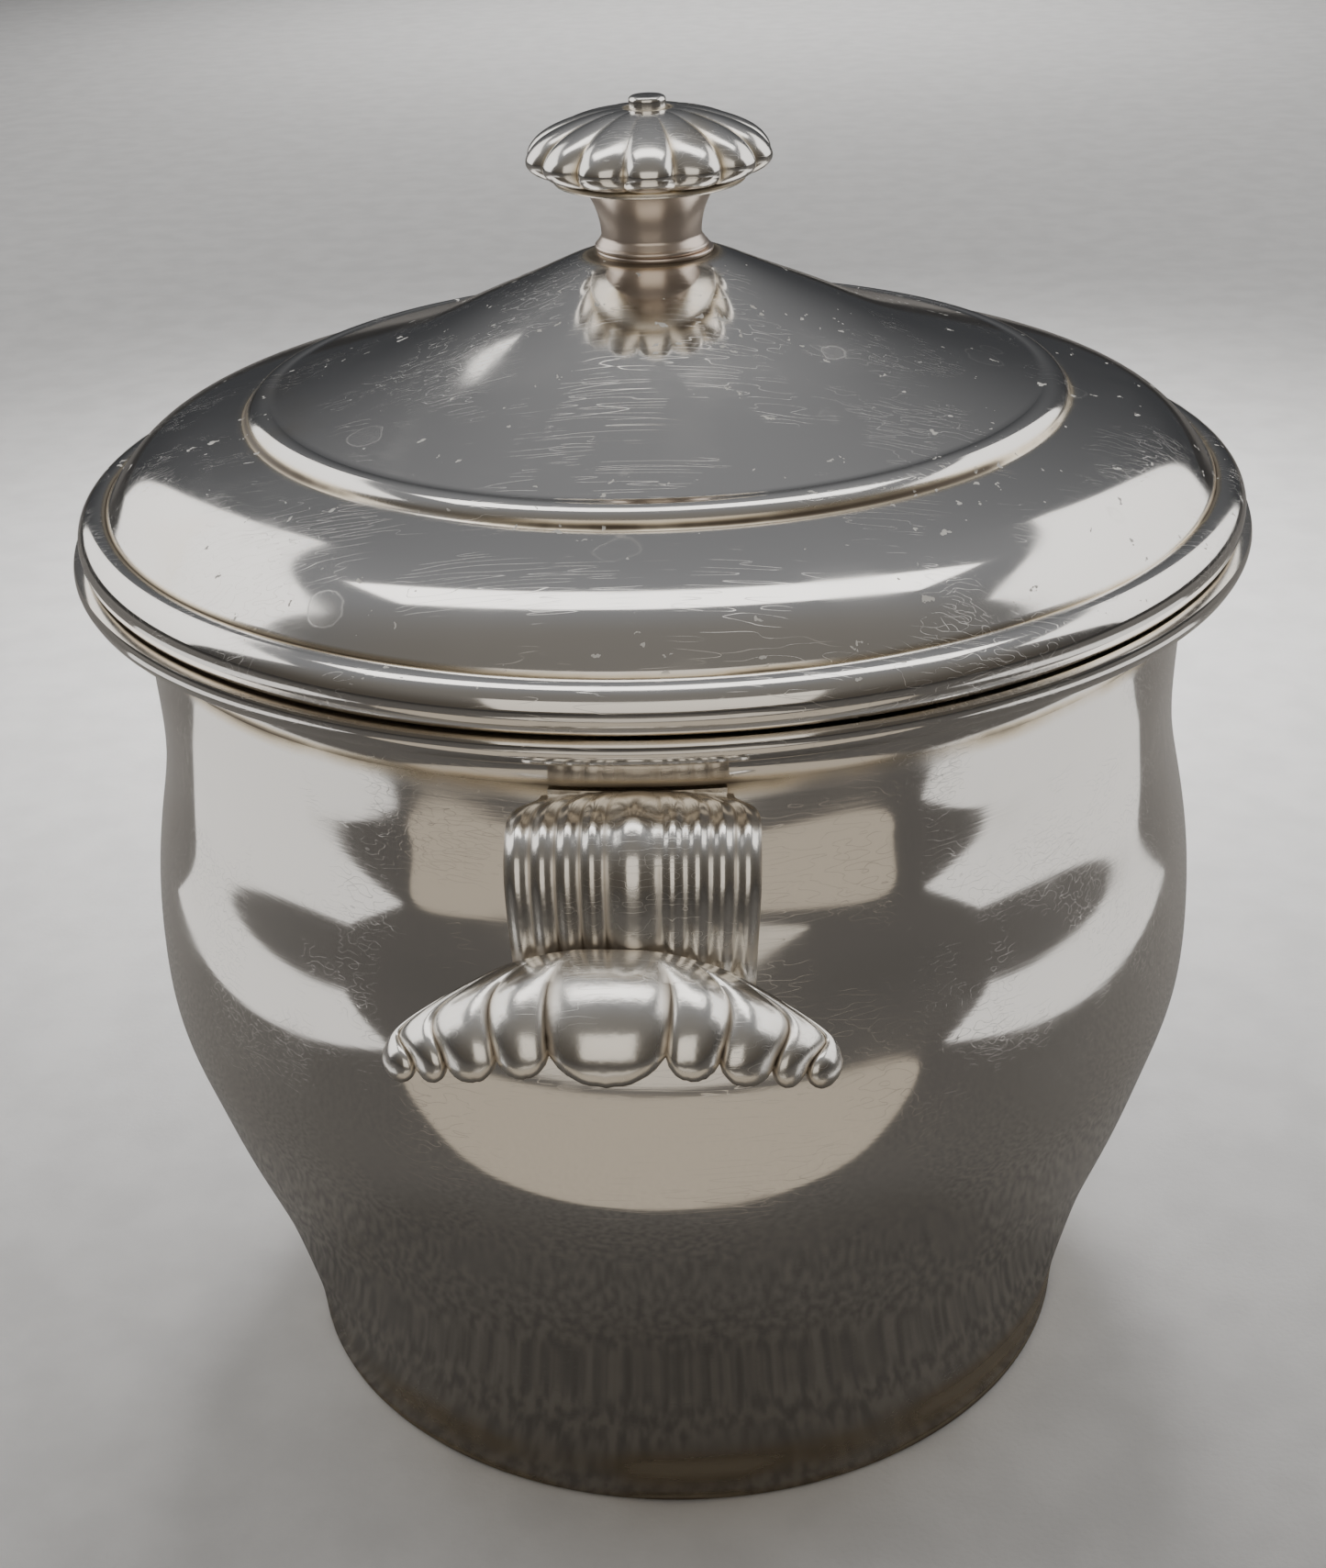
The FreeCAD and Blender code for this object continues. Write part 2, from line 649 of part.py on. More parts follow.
keep(turned("knob_stud", (0.0, 185.4), [
    ("line", (1.7, 185.4)),
    ("line", ("stud_radius", 185.8)),
    ("line", ("stud_radius", 210.4)),
    ("line", (0.0, 210.4)),
]))

keep(turned("knob_spring_washer", (2.2, 190.1), [
    ("line", (3.8, 190.1)),
    ("line", (3.8, ("lid_top_height", -1.0))),
    ("line", (2.2, ("lid_top_height", -1.0))),
]))

keep(hex_nut("knob_nut", 7.0, 186.9, 3.2, 2.01))

# ---------------------------------------------------------------- checks and files
doc.recompute()
for thing in doc.Objects:
    if any(word in thing.State for word in ("Invalid", "Error")):
        raise RuntimeError("%s: %s" % (thing.Name, thing.State))

for node in nodes:
    shape = node.Shape
    if shape.isNull() or not shape.isValid():
        raise RuntimeError("bad shape: " + node.Label)
    shape.exportStep("parts/%s.step" % node.Label)
    box = shape.BoundBox
    print("%-20s solids %d volume %10.1f z %.2f to %.2f" % (
        node.Label, len(shape.Solids), shape.Volume, box.ZMin, box.ZMax))
print(len(nodes), "nodes")
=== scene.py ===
"""Lidded silver-plated ice bucket with two scallop-shell handles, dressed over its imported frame."""
import logging
import math
from dataclasses import dataclass, field
from enum import Enum
from typing import Callable, Sequence, Union

import bmesh
import bpy
import numpy as np
from mathutils import Matrix, Vector

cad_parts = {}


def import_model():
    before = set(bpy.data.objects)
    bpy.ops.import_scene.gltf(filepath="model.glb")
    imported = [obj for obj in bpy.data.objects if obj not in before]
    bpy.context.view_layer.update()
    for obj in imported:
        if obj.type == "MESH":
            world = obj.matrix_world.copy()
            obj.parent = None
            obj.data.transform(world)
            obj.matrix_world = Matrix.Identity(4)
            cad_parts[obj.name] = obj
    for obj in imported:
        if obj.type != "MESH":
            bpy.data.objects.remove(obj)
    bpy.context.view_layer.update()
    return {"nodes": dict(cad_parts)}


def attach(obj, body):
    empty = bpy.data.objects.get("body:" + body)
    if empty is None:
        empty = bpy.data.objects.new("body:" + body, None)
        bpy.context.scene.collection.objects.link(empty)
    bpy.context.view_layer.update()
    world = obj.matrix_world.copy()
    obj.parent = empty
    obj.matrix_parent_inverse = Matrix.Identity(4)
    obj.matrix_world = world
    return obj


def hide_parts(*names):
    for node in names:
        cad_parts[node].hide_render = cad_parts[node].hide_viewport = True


LOG = logging.getLogger("ice_bucket")
MM = 0.001
STUD_BORE = 2.1
Socket = bpy.types.NodeSocket
Value = Union[float, Socket]
Colour = tuple[float, float, float]
Point = tuple[float, float]


# ---------------------------------------------------------------- shader graphs
class Graph:
    """A node tree under construction, with short calls for the nodes used most."""

    def __init__(self, tree: bpy.types.NodeTree) -> None:
        """Keeps the tree that the calls add to.

        Args:
            tree: the shader or geometry tree to fill.
        """
        self.tree = tree

    def add(self, kind: str, feeds: Union[dict, None] = None, **settings: object) -> bpy.types.Node:
        """Adds a node, sets its properties and feeds its inputs.

        Args:
            kind: the node's type name.
            feeds: sockets or plain values for its inputs, by name or number.
            settings: properties of the node by name.

        Returns:
            The new node.
        """
        node = self.tree.nodes.new(kind)
        for name, value in settings.items():
            setattr(node, name, value)
        for name, value in (feeds or {}).items():
            self.feed(node.inputs[name], value)
        return node

    def feed(self, socket: Socket, value: object) -> None:
        """Links a socket into an input, or sets the input's own value.

        Args:
            socket: the input.
            value: an output socket, or a plain value.
        """
        if isinstance(value, Socket):
            self.tree.links.new(value, socket)
        else:
            socket.default_value = value

    def math(self, operation: str, first: Value, second: Value = 0.0, clamp: bool = False) -> Socket:
        """One step of arithmetic.

        Args:
            operation: the Math node's operation.
            first: its first number.
            second: its second number.
            clamp: whether the result is kept between 0 and 1.

        Returns:
            The result's socket.
        """
        return self.add("ShaderNodeMath", {0: first, 1: second}, operation=operation, use_clamp=clamp).outputs[0]

    def times(self, first: Value, second: Value) -> Socket:
        """The product of two numbers.

        Args:
            first: number or socket.
            second: number or socket.

        Returns:
            The product's socket.
        """
        return self.math("MULTIPLY", first, second)

    def plus(self, first: Value, second: Value, clamp: bool = False) -> Socket:
        """The sum of two numbers.

        Args:
            first: number or socket.
            second: number or socket.
            clamp: whether the sum is kept between 0 and 1.

        Returns:
            The sum's socket.
        """
        return self.math("ADD", first, second, clamp)

    def ramp(self, value: Value, low: Value, high: Value, start: float = 0.0, end: float = 1.0) -> Socket:
        """A smooth step from one level to another.

        Args:
            value: the number to map.
            low: where the step starts.
            high: where the step ends.
            start: the result at low and before it.
            end: the result at high and after it.

        Returns:
            The result's socket.
        """
        return self.add("ShaderNodeMapRange", {"Value": value, "From Min": low, "From Max": high, "To Min": start,
                                               "To Max": end}, interpolation_type="SMOOTHSTEP").outputs["Result"]

    def ridge(self, value: Socket, level: Value, width: Value) -> Socket:
        """A line where a field crosses a level, fading to both sides.

        Args:
            value: the field.
            level: the level that it crosses.
            width: half the line's width, in the field's own units.

        Returns:
            The line's mask.
        """
        away = self.math("ABSOLUTE", self.math("SUBTRACT", value, level))
        return self.math("SUBTRACT", 1.0, self.ramp(away, 0.0, width), clamp=True)

    def mix(self, share: Value, first: object, second: object) -> Socket:
        """Blends two colours.

        Args:
            share: how much of the second colour shows.
            first: colour or socket.
            second: colour or socket.

        Returns:
            The blended colour's socket.
        """
        node = self.add("ShaderNodeMix", {0: share}, data_type="RGBA")
        for socket, value in ((node.inputs[6], first), (node.inputs[7], second)):
            self.feed(socket, (*value, 1.0) if isinstance(value, tuple) else value)
        return node.outputs[2]

    def noise(self, vector: Socket, scale: Value, detail: float = 2.0) -> Socket:
        """Fractal noise at a place.

        Args:
            vector: the coordinates.
            scale: how fine the noise is.
            detail: its number of octaves.

        Returns:
            The noise value's socket, about 0.5 on average.
        """
        return self.add("ShaderNodeTexNoise", {"Vector": vector, "Scale": scale, "Detail": detail}).outputs[0]

    def vector(self, operation: str, feeds: dict) -> Socket:
        """One step of vector arithmetic.

        Args:
            operation: the Vector Math node's operation.
            feeds: its inputs by name or number.

        Returns:
            The resulting vector's socket.
        """
        return self.add("ShaderNodeVectorMath", feeds, operation=operation).outputs[0]

    def parts(self, vector: Socket) -> tuple[Socket, Socket, Socket]:
        """A vector's three coordinates.

        Args:
            vector: the vector.

        Returns:
            Its x, y and z sockets.
        """
        return tuple(self.add("ShaderNodeSeparateXYZ", {0: vector}).outputs)

    def turned(self, vector: Socket, rotation: Colour, scale: Colour) -> Socket:
        """Coordinates turned and stretched by a Mapping node.

        Args:
            vector: the coordinates.
            rotation: its angles in radians.
            scale: its stretch along each axis.

        Returns:
            The new coordinates' socket.
        """
        return self.add("ShaderNodeMapping", {"Vector": vector, "Rotation": rotation, "Scale": scale}).outputs[0]

    def warped(self, vector: Socket, scale: float, reach: float) -> Socket:
        """Coordinates pushed about by noise, so that the shapes drawn over them lose their evenness.

        Args:
            vector: the coordinates.
            scale: how fine the noise is.
            reach: how far it pushes, in metres.

        Returns:
            The new coordinates' socket.
        """
        push = self.add("ShaderNodeTexNoise", {"Vector": vector, "Scale": scale}).outputs["Color"]
        return self.vector("ADD", {0: vector, 1: self.vector("SCALE", {0: push, "Scale": reach})})

    def spots(self, vector: Socket, scale: Value, share: Value) -> tuple[Socket, Socket, Socket]:
        """Scattered spots, some of which are chosen at random.

        Args:
            vector: the coordinates.
            scale: how closely the spots stand.
            share: the share of them that is chosen.

        Returns:
            The distance to the nearest spot, a random number of its own, and whether it is chosen.
        """
        cells = self.add("ShaderNodeTexVoronoi", {"Vector": vector, "Scale": scale}, feature="F1").outputs
        pick = self.add("ShaderNodeSeparateColor", {0: cells["Color"]}).outputs
        return cells["Distance"], pick[1], self.math("LESS_THAN", pick[0], share)

    def place(self) -> Socket:
        """The piece's own coordinates.

        Returns:
            Their socket.
        """
        return self.add("ShaderNodeTexCoord").outputs["Object"]


class Effect(Enum):
    """The shader effects that several finishes share, each built once as a node group."""

    RINGS = "polishing_rings"
    HAIRLINES = "hairline_scratches"
    BLOOM = "tarnish_bloom"
    DUST = "settled_dust"
    DROPS = "dried_drops"
    GRAIN = "fine_grain"


def effect_tree(effect: Effect, inputs: dict[str, float], outputs: Sequence[str]) -> tuple[Graph, dict, dict]:
    """Starts one effect's node group.

    Args:
        effect: which effect it is.
        inputs: its number inputs and their usual values.
        outputs: the names of its number outputs.

    Returns:
        The graph, the input sockets by name, and the output sockets by name.
    """
    tree = bpy.data.node_groups.new(effect.value, "ShaderNodeTree")
    for name, value in inputs.items():
        tree.interface.new_socket(name, in_out="INPUT", socket_type="NodeSocketFloat").default_value = value
    for name in outputs:
        tree.interface.new_socket(name, in_out="OUTPUT", socket_type="NodeSocketFloat")
    graph = Graph(tree)
    entry = graph.add("NodeGroupInput")
    leave = graph.add("NodeGroupOutput")
    return graph, {n: entry.outputs[n] for n in inputs}, {n: leave.inputs[n] for n in outputs}


def build_rings() -> bpy.types.NodeTree:
    """Streaks that run round the bucket's axis, left by spinning and polishing.

    Returns:
        The effect's node group.
    """
    graph, given, out = effect_tree(Effect.RINGS, {"Fineness": 2200.0, "Run": 5.0}, ("Streaks",))
    nearest_axis, slant = 0.0005, 0.8
    x, y, z = graph.parts(graph.place())
    radius = graph.math("SQRT", graph.plus(graph.times(x, x), graph.times(y, y)))
    safe = graph.math("MAXIMUM", radius, nearest_axis)
    around = graph.add("ShaderNodeCombineXYZ", {
        0: graph.times(graph.math("DIVIDE", x, safe), given["Run"]),
        1: graph.times(graph.math("DIVIDE", y, safe), given["Run"]),
        2: graph.times(graph.plus(z, graph.times(radius, slant)), given["Fineness"])})
    graph.feed(out["Streaks"], graph.noise(around.outputs[0], 1.0, 3.0))
    return graph.tree


def build_hairlines() -> bpy.types.NodeTree:
    """Fine scratches in several directions, each short and broken.

    Returns:
        The effect's node group.
    """
    graph, given, out = effect_tree(Effect.HAIRLINES, {"Fineness": 900.0, "Width": 0.008}, ("Lines",))
    place = graph.place()
    total: Value = 0.0
    for step, turn in enumerate(((0.3, 0.2, 0.5), (1.1, 0.4, 1.9), (0.2, 1.2, 2.8), (0.9, 0.9, 0.1))):
        stretched = graph.turned(place, turn, (0.035, 1.0, 1.0))
        lines = graph.ridge(graph.noise(stretched, given["Fineness"], 0.0), 0.5, given["Width"])
        shifted = graph.vector("ADD", {0: place, 1: (0.11 * step, 0.07, 0.03 * step)})
        present = graph.ramp(graph.noise(shifted, 45.0, 3.0), 0.53, 0.66)
        total = graph.plus(total, graph.times(lines, present))
    graph.feed(out["Lines"], graph.math("MINIMUM", total, 1.0))
    return graph.tree


def build_bloom() -> bpy.types.NodeTree:
    """Cloudy patches with soft edges, for tarnish, smears and handling.

    Returns:
        The effect's node group.
    """
    graph, given, out = effect_tree(Effect.BLOOM, {"Scale": 22.0, "Cover": 0.5}, ("Mask", "Cloud"))
    bare_level, cover_drop, softness = 0.72, 0.3, 0.16
    cloud = graph.noise(graph.place(), given["Scale"], 6.0)
    low = graph.math("SUBTRACT", bare_level, graph.times(given["Cover"], cover_drop))
    graph.feed(out["Mask"], graph.ramp(cloud, low, graph.plus(low, softness)))
    graph.feed(out["Cloud"], cloud)
    return graph.tree


def build_dust() -> bpy.types.NodeTree:
    """Specks and short lint that settle on faces turned upwards.

    Returns:
        The effect's node group.
    """
    graph, given, out = effect_tree(Effect.DUST, {"Amount": 0.3, "Scale": 330.0}, ("Mask",))
    shapes = (((1.0, 1.0, 1.0), 0.0, 0.16), ((0.35, 1.25, 1.0), 0.7, 0.10), ((1.3, 0.33, 1.0), 2.1, 0.09))
    place = graph.place()
    bent = graph.warped(place, 700.0, 0.0032)
    total: Value = 0.0
    for stretch, turn, size in shapes:
        laid = graph.turned(bent, (0.0, 0.0, turn), stretch)
        distance, chance, chosen = graph.spots(laid, given["Scale"], given["Amount"])
        speck = graph.math("LESS_THAN", distance, graph.times(graph.plus(chance, 0.35), size))
        total = graph.math("MAXIMUM", total, graph.times(speck, chosen))
    facing = graph.ramp(graph.parts(graph.add("ShaderNodeTexCoord").outputs["Normal"])[2], 0.35, 0.75)
    thick = graph.ramp(graph.noise(place, 28.0, 3.0), 0.3, 0.66, 0.25, 1.0)
    kept = graph.math("GREATER_THAN", thick, graph.noise(place, 190.0, 0.0))
    graph.feed(out["Mask"], graph.times(graph.times(total, facing), kept))
    return graph.tree


def build_drops() -> bpy.types.NodeTree:
    """Faint rims where drops of water dried.

    Returns:
        The effect's node group.
    """
    graph, given, out = effect_tree(Effect.DROPS, {"Scale": 75.0, "Amount": 0.16}, ("Rims", "Inside"))
    smallest, growth, rim_width = 0.12, 0.16, 0.022
    bent = graph.warped(graph.place(), 160.0, 0.004)
    distance, chance, chosen = graph.spots(bent, given["Scale"], given["Amount"])
    size = graph.plus(graph.times(chance, growth), smallest)
    graph.feed(out["Rims"], graph.times(graph.ridge(distance, size, rim_width), chosen))
    graph.feed(out["Inside"], graph.times(graph.math("LESS_THAN", distance, size), chosen))
    return graph.tree


def build_grain() -> bpy.types.NodeTree:
    """A fine even grain with a slower unevenness under it, for cast, moulded and pressed parts.

    Returns:
        The effect's node group.
    """
    graph, given, out = effect_tree(Effect.GRAIN, {"Scale": 900.0}, ("Height", "Cloud"))
    slow_scale, fine_share = 0.06, 0.6
    place = graph.place()
    fine = graph.noise(place, given["Scale"], 4.0)
    slow = graph.noise(place, graph.times(given["Scale"], slow_scale), 3.0)
    graph.feed(out["Height"], graph.plus(graph.times(fine, fine_share), graph.times(slow, 1.0 - fine_share)))
    graph.feed(out["Cloud"], slow)
    return graph.tree


BUILDERS: dict[Effect, Callable[[], bpy.types.NodeTree]] = {
    Effect.RINGS: build_rings,
    Effect.HAIRLINES: build_hairlines,
    Effect.BLOOM: build_bloom,
    Effect.DUST: build_dust,
    Effect.DROPS: build_drops,
    Effect.GRAIN: build_grain,
}


def use_effect(graph: Graph, effect: Effect, **values: Value) -> bpy.types.Node:
    """Places an effect's group in a material, building the group on its first use.

    Args:
        graph: the material's graph.
        effect: which effect to place.
        values: its inputs by name.

    Returns:
        The group node.
    """
    tree = bpy.data.node_groups.get(effect.value) or BUILDERS[effect]()
    return graph.add("ShaderNodeGroup", values, node_tree=tree)


def new_material(name: str) -> tuple[bpy.types.Material, Graph, bpy.types.Node]:
    """An empty material with its Principled shader.

    Args:
        name: the material's name.

    Returns:
        The material, its graph and its shader node.
    """
    material = bpy.data.materials.new(name)
    material.use_nodes = True
    material.node_tree.nodes.clear()
    graph = Graph(material.node_tree)
    shader = graph.add("ShaderNodeBsdfPrincipled")
    graph.add("ShaderNodeOutputMaterial", {"Surface": shader.outputs[0]})
    return material, graph, shader


def bump(graph: Graph, height: Socket, distance: float, before: Union[Socket, None] = None) -> Socket:
    """A bumped normal.

    Args:
        graph: the material's graph.
        height: the height field.
        distance: how far its full height stands out, in metres.
        before: a normal to add to.

    Returns:
        The new normal's socket.
    """
    feeds = {"Strength": 1.0, "Distance": distance, "Height": height}
    if before is not None:
        feeds["Normal"] = before
    return graph.add("ShaderNodeBump", feeds).outputs[0]


@dataclass(frozen=True)
class SilverFinish:
    """Polished silver plate with its scratches, tarnish, dust and dried drops."""

    name: str
    colour: Colour = (0.93, 0.905, 0.87)
    warm: Colour = (0.78, 0.66, 0.47)
    grime: Colour = (0.10, 0.075, 0.05)
    dust_colour: Colour = (0.72, 0.71, 0.68)
    roughness: float = 0.045
    rings: float = 0.10
    hairlines: float = 0.35
    tarnish: float = 0.35
    tarnish_scale: float = 24.0
    tarnish_tint: float = 0.35
    smear_scale: float = 55.0
    smear_cover: float = 0.7
    smear_roughness: float = 0.05
    grime_roughness: float = 0.35
    dust: float = 0.0
    dust_roughness: float = 0.6
    drops: float = 0.0
    waviness: float = 0.00006
    wave_scale: float = 26.0
    scratch_depth: float = 0.000012
    ring_depth: float = 0.0000022
    grain: float = 0.0
    grain_scale: float = 620.0

    def build(self) -> bpy.types.Material:
        """Makes the material.

        Returns:
            The finished material.
        """
        material, graph, shader = new_material(self.name)
        times, plus = graph.times, graph.plus
        streaks = use_effect(graph, Effect.RINGS).outputs["Streaks"]
        lines = times(use_effect(graph, Effect.HAIRLINES).outputs["Lines"], self.hairlines)
        bloom = use_effect(graph, Effect.BLOOM, Scale=self.tarnish_scale, Cover=self.tarnish).outputs
        smears = use_effect(graph, Effect.BLOOM, Scale=self.smear_scale, Cover=self.smear_cover).outputs
        deep = graph.add("ShaderNodeAttribute", attribute_name="grime").outputs["Fac"]
        patchy = times(deep, graph.ramp(bloom["Cloud"], 0.34, 0.56, 0.35, 1.0))
        shade = graph.mix(times(bloom["Mask"], self.tarnish_tint), self.colour, self.warm)
        shade = graph.mix(times(graph.ramp(patchy, 0.05, 0.6), 0.8), shade, self.warm)
        shade = graph.mix(graph.ramp(patchy, 0.45, 1.0), shade, self.grime)
        rough = plus(self.roughness, times(streaks, self.rings))
        for mask, more in ((smears["Mask"], self.smear_roughness), (lines, 0.5), (patchy, self.grime_roughness)):
            rough = plus(rough, times(mask, more))
        metal: Value = graph.math("SUBTRACT", 1.0, times(graph.ramp(patchy, 0.5, 1.0), 0.6))
        if self.drops > 0:
            drops = use_effect(graph, Effect.DROPS, Amount=self.drops).outputs
            shade = graph.mix(times(drops["Rims"], 0.16), shade, self.dust_colour)
            rough = plus(rough, plus(times(drops["Rims"], 0.12), times(drops["Inside"], 0.04)))
        if self.dust > 0:
            dust = use_effect(graph, Effect.DUST, Amount=self.dust).outputs["Mask"]
            shade = graph.mix(dust, shade, self.dust_colour)
            rough = plus(rough, times(dust, self.dust_roughness))
            metal = times(metal, graph.math("SUBTRACT", 1.0, dust))
        normal = bump(graph, graph.noise(graph.place(), self.wave_scale, 2.0), self.waviness)
        normal = bump(graph, times(lines, -1.0), self.scratch_depth, normal)
        normal = bump(graph, streaks, self.ring_depth, normal)
        if self.grain > 0:
            grain = use_effect(graph, Effect.GRAIN, Scale=self.grain_scale)
            normal = bump(graph, grain.outputs["Height"], self.grain, normal)
        for name, value in (("Base Color", shade), ("Metallic", metal), ("Normal", normal),
                            ("Roughness", graph.math("MINIMUM", rough, 0.95))):
            graph.feed(shader.inputs[name], value)
        return material


@dataclass(frozen=True)
class MouldedFinish:
    """Rubber, plastic, foam or bright steel with a grain and uneven handling."""

    name: str
    colour: Colour
    second: Colour
    roughness: float = 0.5
    metallic: float = 0.0
    scale: float = 900.0
    depth: float = 0.00002
    coat: float = 0.0
    handling: float = 0.12
    scratches: float = 0.15

    def build(self) -> bpy.types.Material:
        """Makes the material.

        Returns:
            The finished material.
        """
        material, graph, shader = new_material(self.name)
        grain = use_effect(graph, Effect.GRAIN, Scale=self.scale).outputs
        bloom = use_effect(graph, Effect.BLOOM, Scale=90.0, Cover=0.6).outputs
        hairs = use_effect(graph, Effect.HAIRLINES, Fineness=1200.0).outputs
        rough = graph.plus(self.roughness, graph.times(bloom["Mask"], self.handling))
        rough = graph.plus(rough, graph.times(hairs["Lines"], self.scratches), clamp=True)
        shade = graph.mix(graph.ramp(grain["Cloud"], 0.3, 0.7), self.colour, self.second)
        for name, value in (("Base Color", shade), ("Roughness", rough), ("Metallic", self.metallic),
                            ("Coat Weight", self.coat), ("Normal", bump(graph, grain["Height"], self.depth))):
            graph.feed(shader.inputs[name], value)
        return material


class Finish(Enum):
    """Every finish on the bucket, with the material slot it belongs to."""

    BODY = ("silver_plate", SilverFinish("body_silver", rings=0.05, hairlines=0.3, tarnish=0.25, waviness=0.00010))
    LID = ("silver_plate", SilverFinish("lid_silver", rings=0.08, hairlines=0.5, tarnish=0.35, dust=0.26, drops=0.2))
    HANDLE = ("silver_plate", SilverFinish("handle_silver", colour=(0.94, 0.915, 0.87), warm=(0.56, 0.50, 0.42),
                                           roughness=0.19, rings=0.0,
                                           hairlines=0.4, tarnish=0.7, tarnish_scale=60.0, grain=0.00006))
    KNOB = ("silver_plate", SilverFinish("knob_silver", colour=(0.95, 0.925, 0.885), roughness=0.15, rings=0.04,
                                         tarnish=0.6, tarnish_scale=80.0, grain=0.00002))
    WORN = ("worn_silver", SilverFinish("worn_silver", colour=(0.94, 0.87, 0.80), roughness=0.11, rings=0.2,
                                        tarnish=0.5, tarnish_scale=70.0, grain=0.00002))
    PLATED = ("plated_base", SilverFinish("plated_base", colour=(0.74, 0.70, 0.62), roughness=0.22, rings=0.2,
                                          tarnish=0.9, tarnish_scale=30.0, grain=0.00003))
    GLASS = ("silvered_glass", MouldedFinish("silvered_glass", (0.86, 0.87, 0.88), (0.80, 0.81, 0.83),
                                             roughness=0.03, metallic=1.0, scale=60.0, depth=0.0002, coat=1.0))
    STEEL = ("steel", MouldedFinish("bright_steel", (0.62, 0.61, 0.59), (0.50, 0.49, 0.47), roughness=0.28,
                                    metallic=1.0))
    CUSHION = ("cushion_rubber", MouldedFinish("cushion_rubber", (0.045, 0.045, 0.048), (0.07, 0.07, 0.07),
                                               roughness=0.72, depth=0.00008))
    SEAL = ("seal_rubber", MouldedFinish("seal_rubber", (0.72, 0.70, 0.64), (0.60, 0.57, 0.50), roughness=0.55,
                                         depth=0.00004))
    COLLAR = ("collar_plastic", MouldedFinish("collar_plastic", (0.83, 0.82, 0.78), (0.76, 0.74, 0.68),
                                              roughness=0.36))
    FOAM = ("lid_foam", MouldedFinish("lid_foam", (0.80, 0.77, 0.66), (0.70, 0.66, 0.54), roughness=0.9,
                                      scale=1500.0, depth=0.0002))
    SPACER = ("spacer_pad", MouldedFinish("spacer_pad", (0.52, 0.36, 0.22), (0.42, 0.28, 0.16), roughness=0.85,
                                          depth=0.0001))

    @property
    def slot(self) -> str:
        """The record's slot that the finish stands for.

        Returns:
            The slot's name.
        """
        return self.value[0]

    def material(self) -> bpy.types.Material:
        """The finish's material, made on first use.

        Returns:
            The material.
        """
        recipe = self.value[1]
        return bpy.data.materials.get(recipe.name) or recipe.build()


# ---------------------------------------------------------------- outlines
def natural_curve(points: Sequence[Sequence[float]], count: int) -> np.ndarray:
    """A smooth curve through points, with no bend at its two ends.

    Args:
        points: the points it goes through, of any number of coordinates.
        count: how many points come back.

    Returns:
        Points along the curve, one row each.
    """
    known = np.array(points, float)
    gaps = np.linalg.norm(np.diff(known, axis=0), axis=1)
    knots = np.concatenate([[0.0], np.cumsum(gaps)])
    size = len(known)
    system = np.eye(size)
    right = np.zeros_like(known)
    for k in range(1, size - 1):
        system[k, k - 1:k + 2] = gaps[k - 1], 2 * (gaps[k - 1] + gaps[k]), gaps[k]
        right[k] = 6 * ((known[k + 1] - known[k]) / gaps[k] - (known[k] - known[k - 1]) / gaps[k - 1])
    second = np.linalg.solve(system, right)
    result = []
    for along in np.linspace(0.0, knots[-1], count):
        k = min(int(np.searchsorted(knots, along, side="right")) - 1, size - 2)
        gap, a, b = gaps[k], knots[k + 1] - along, along - knots[k]
        result.append(second[k] * a ** 3 / (6 * gap) + second[k + 1] * b ** 3 / (6 * gap)
                      + (known[k] / gap - second[k] * gap / 6) * a
                      + (known[k + 1] / gap - second[k + 1] * gap / 6) * b)
    return np.array(result)


def arc_through(start: Point, middle: Point, end: Point, count: int) -> np.ndarray:
    """Points on the arc through three points.

    Args:
        start: its first point.
        middle: a point on it.
        end: its last point.
        count: how many points come back.

    Returns:
        Points along the arc, one row each.
    """
    (x0, y0), (x1, y1), (x2, y2) = start, middle, end
    system = np.array([[x1 - x0, y1 - y0], [x2 - x0, y2 - y0]])
    right = 0.5 * np.array([x1 ** 2 - x0 ** 2 + y1 ** 2 - y0 ** 2, x2 ** 2 - x0 ** 2 + y2 ** 2 - y0 ** 2])
    centre = np.linalg.solve(system, right)
    first = math.atan2(y0 - centre[1], x0 - centre[0])
    through = math.atan2(y1 - centre[1], x1 - centre[0])
    last = math.atan2(y2 - centre[1], x2 - centre[0])
    sweep = (last - first) % (2 * math.pi)
    if (through - first) % (2 * math.pi) > sweep:
        sweep -= 2 * math.pi
    radius = math.hypot(x0 - centre[0], y0 - centre[1])
    turns = first + sweep * np.linspace(0.0, 1.0, count)
    return np.stack([centre[0] + radius * np.cos(turns), centre[1] + radius * np.sin(turns)], axis=1)


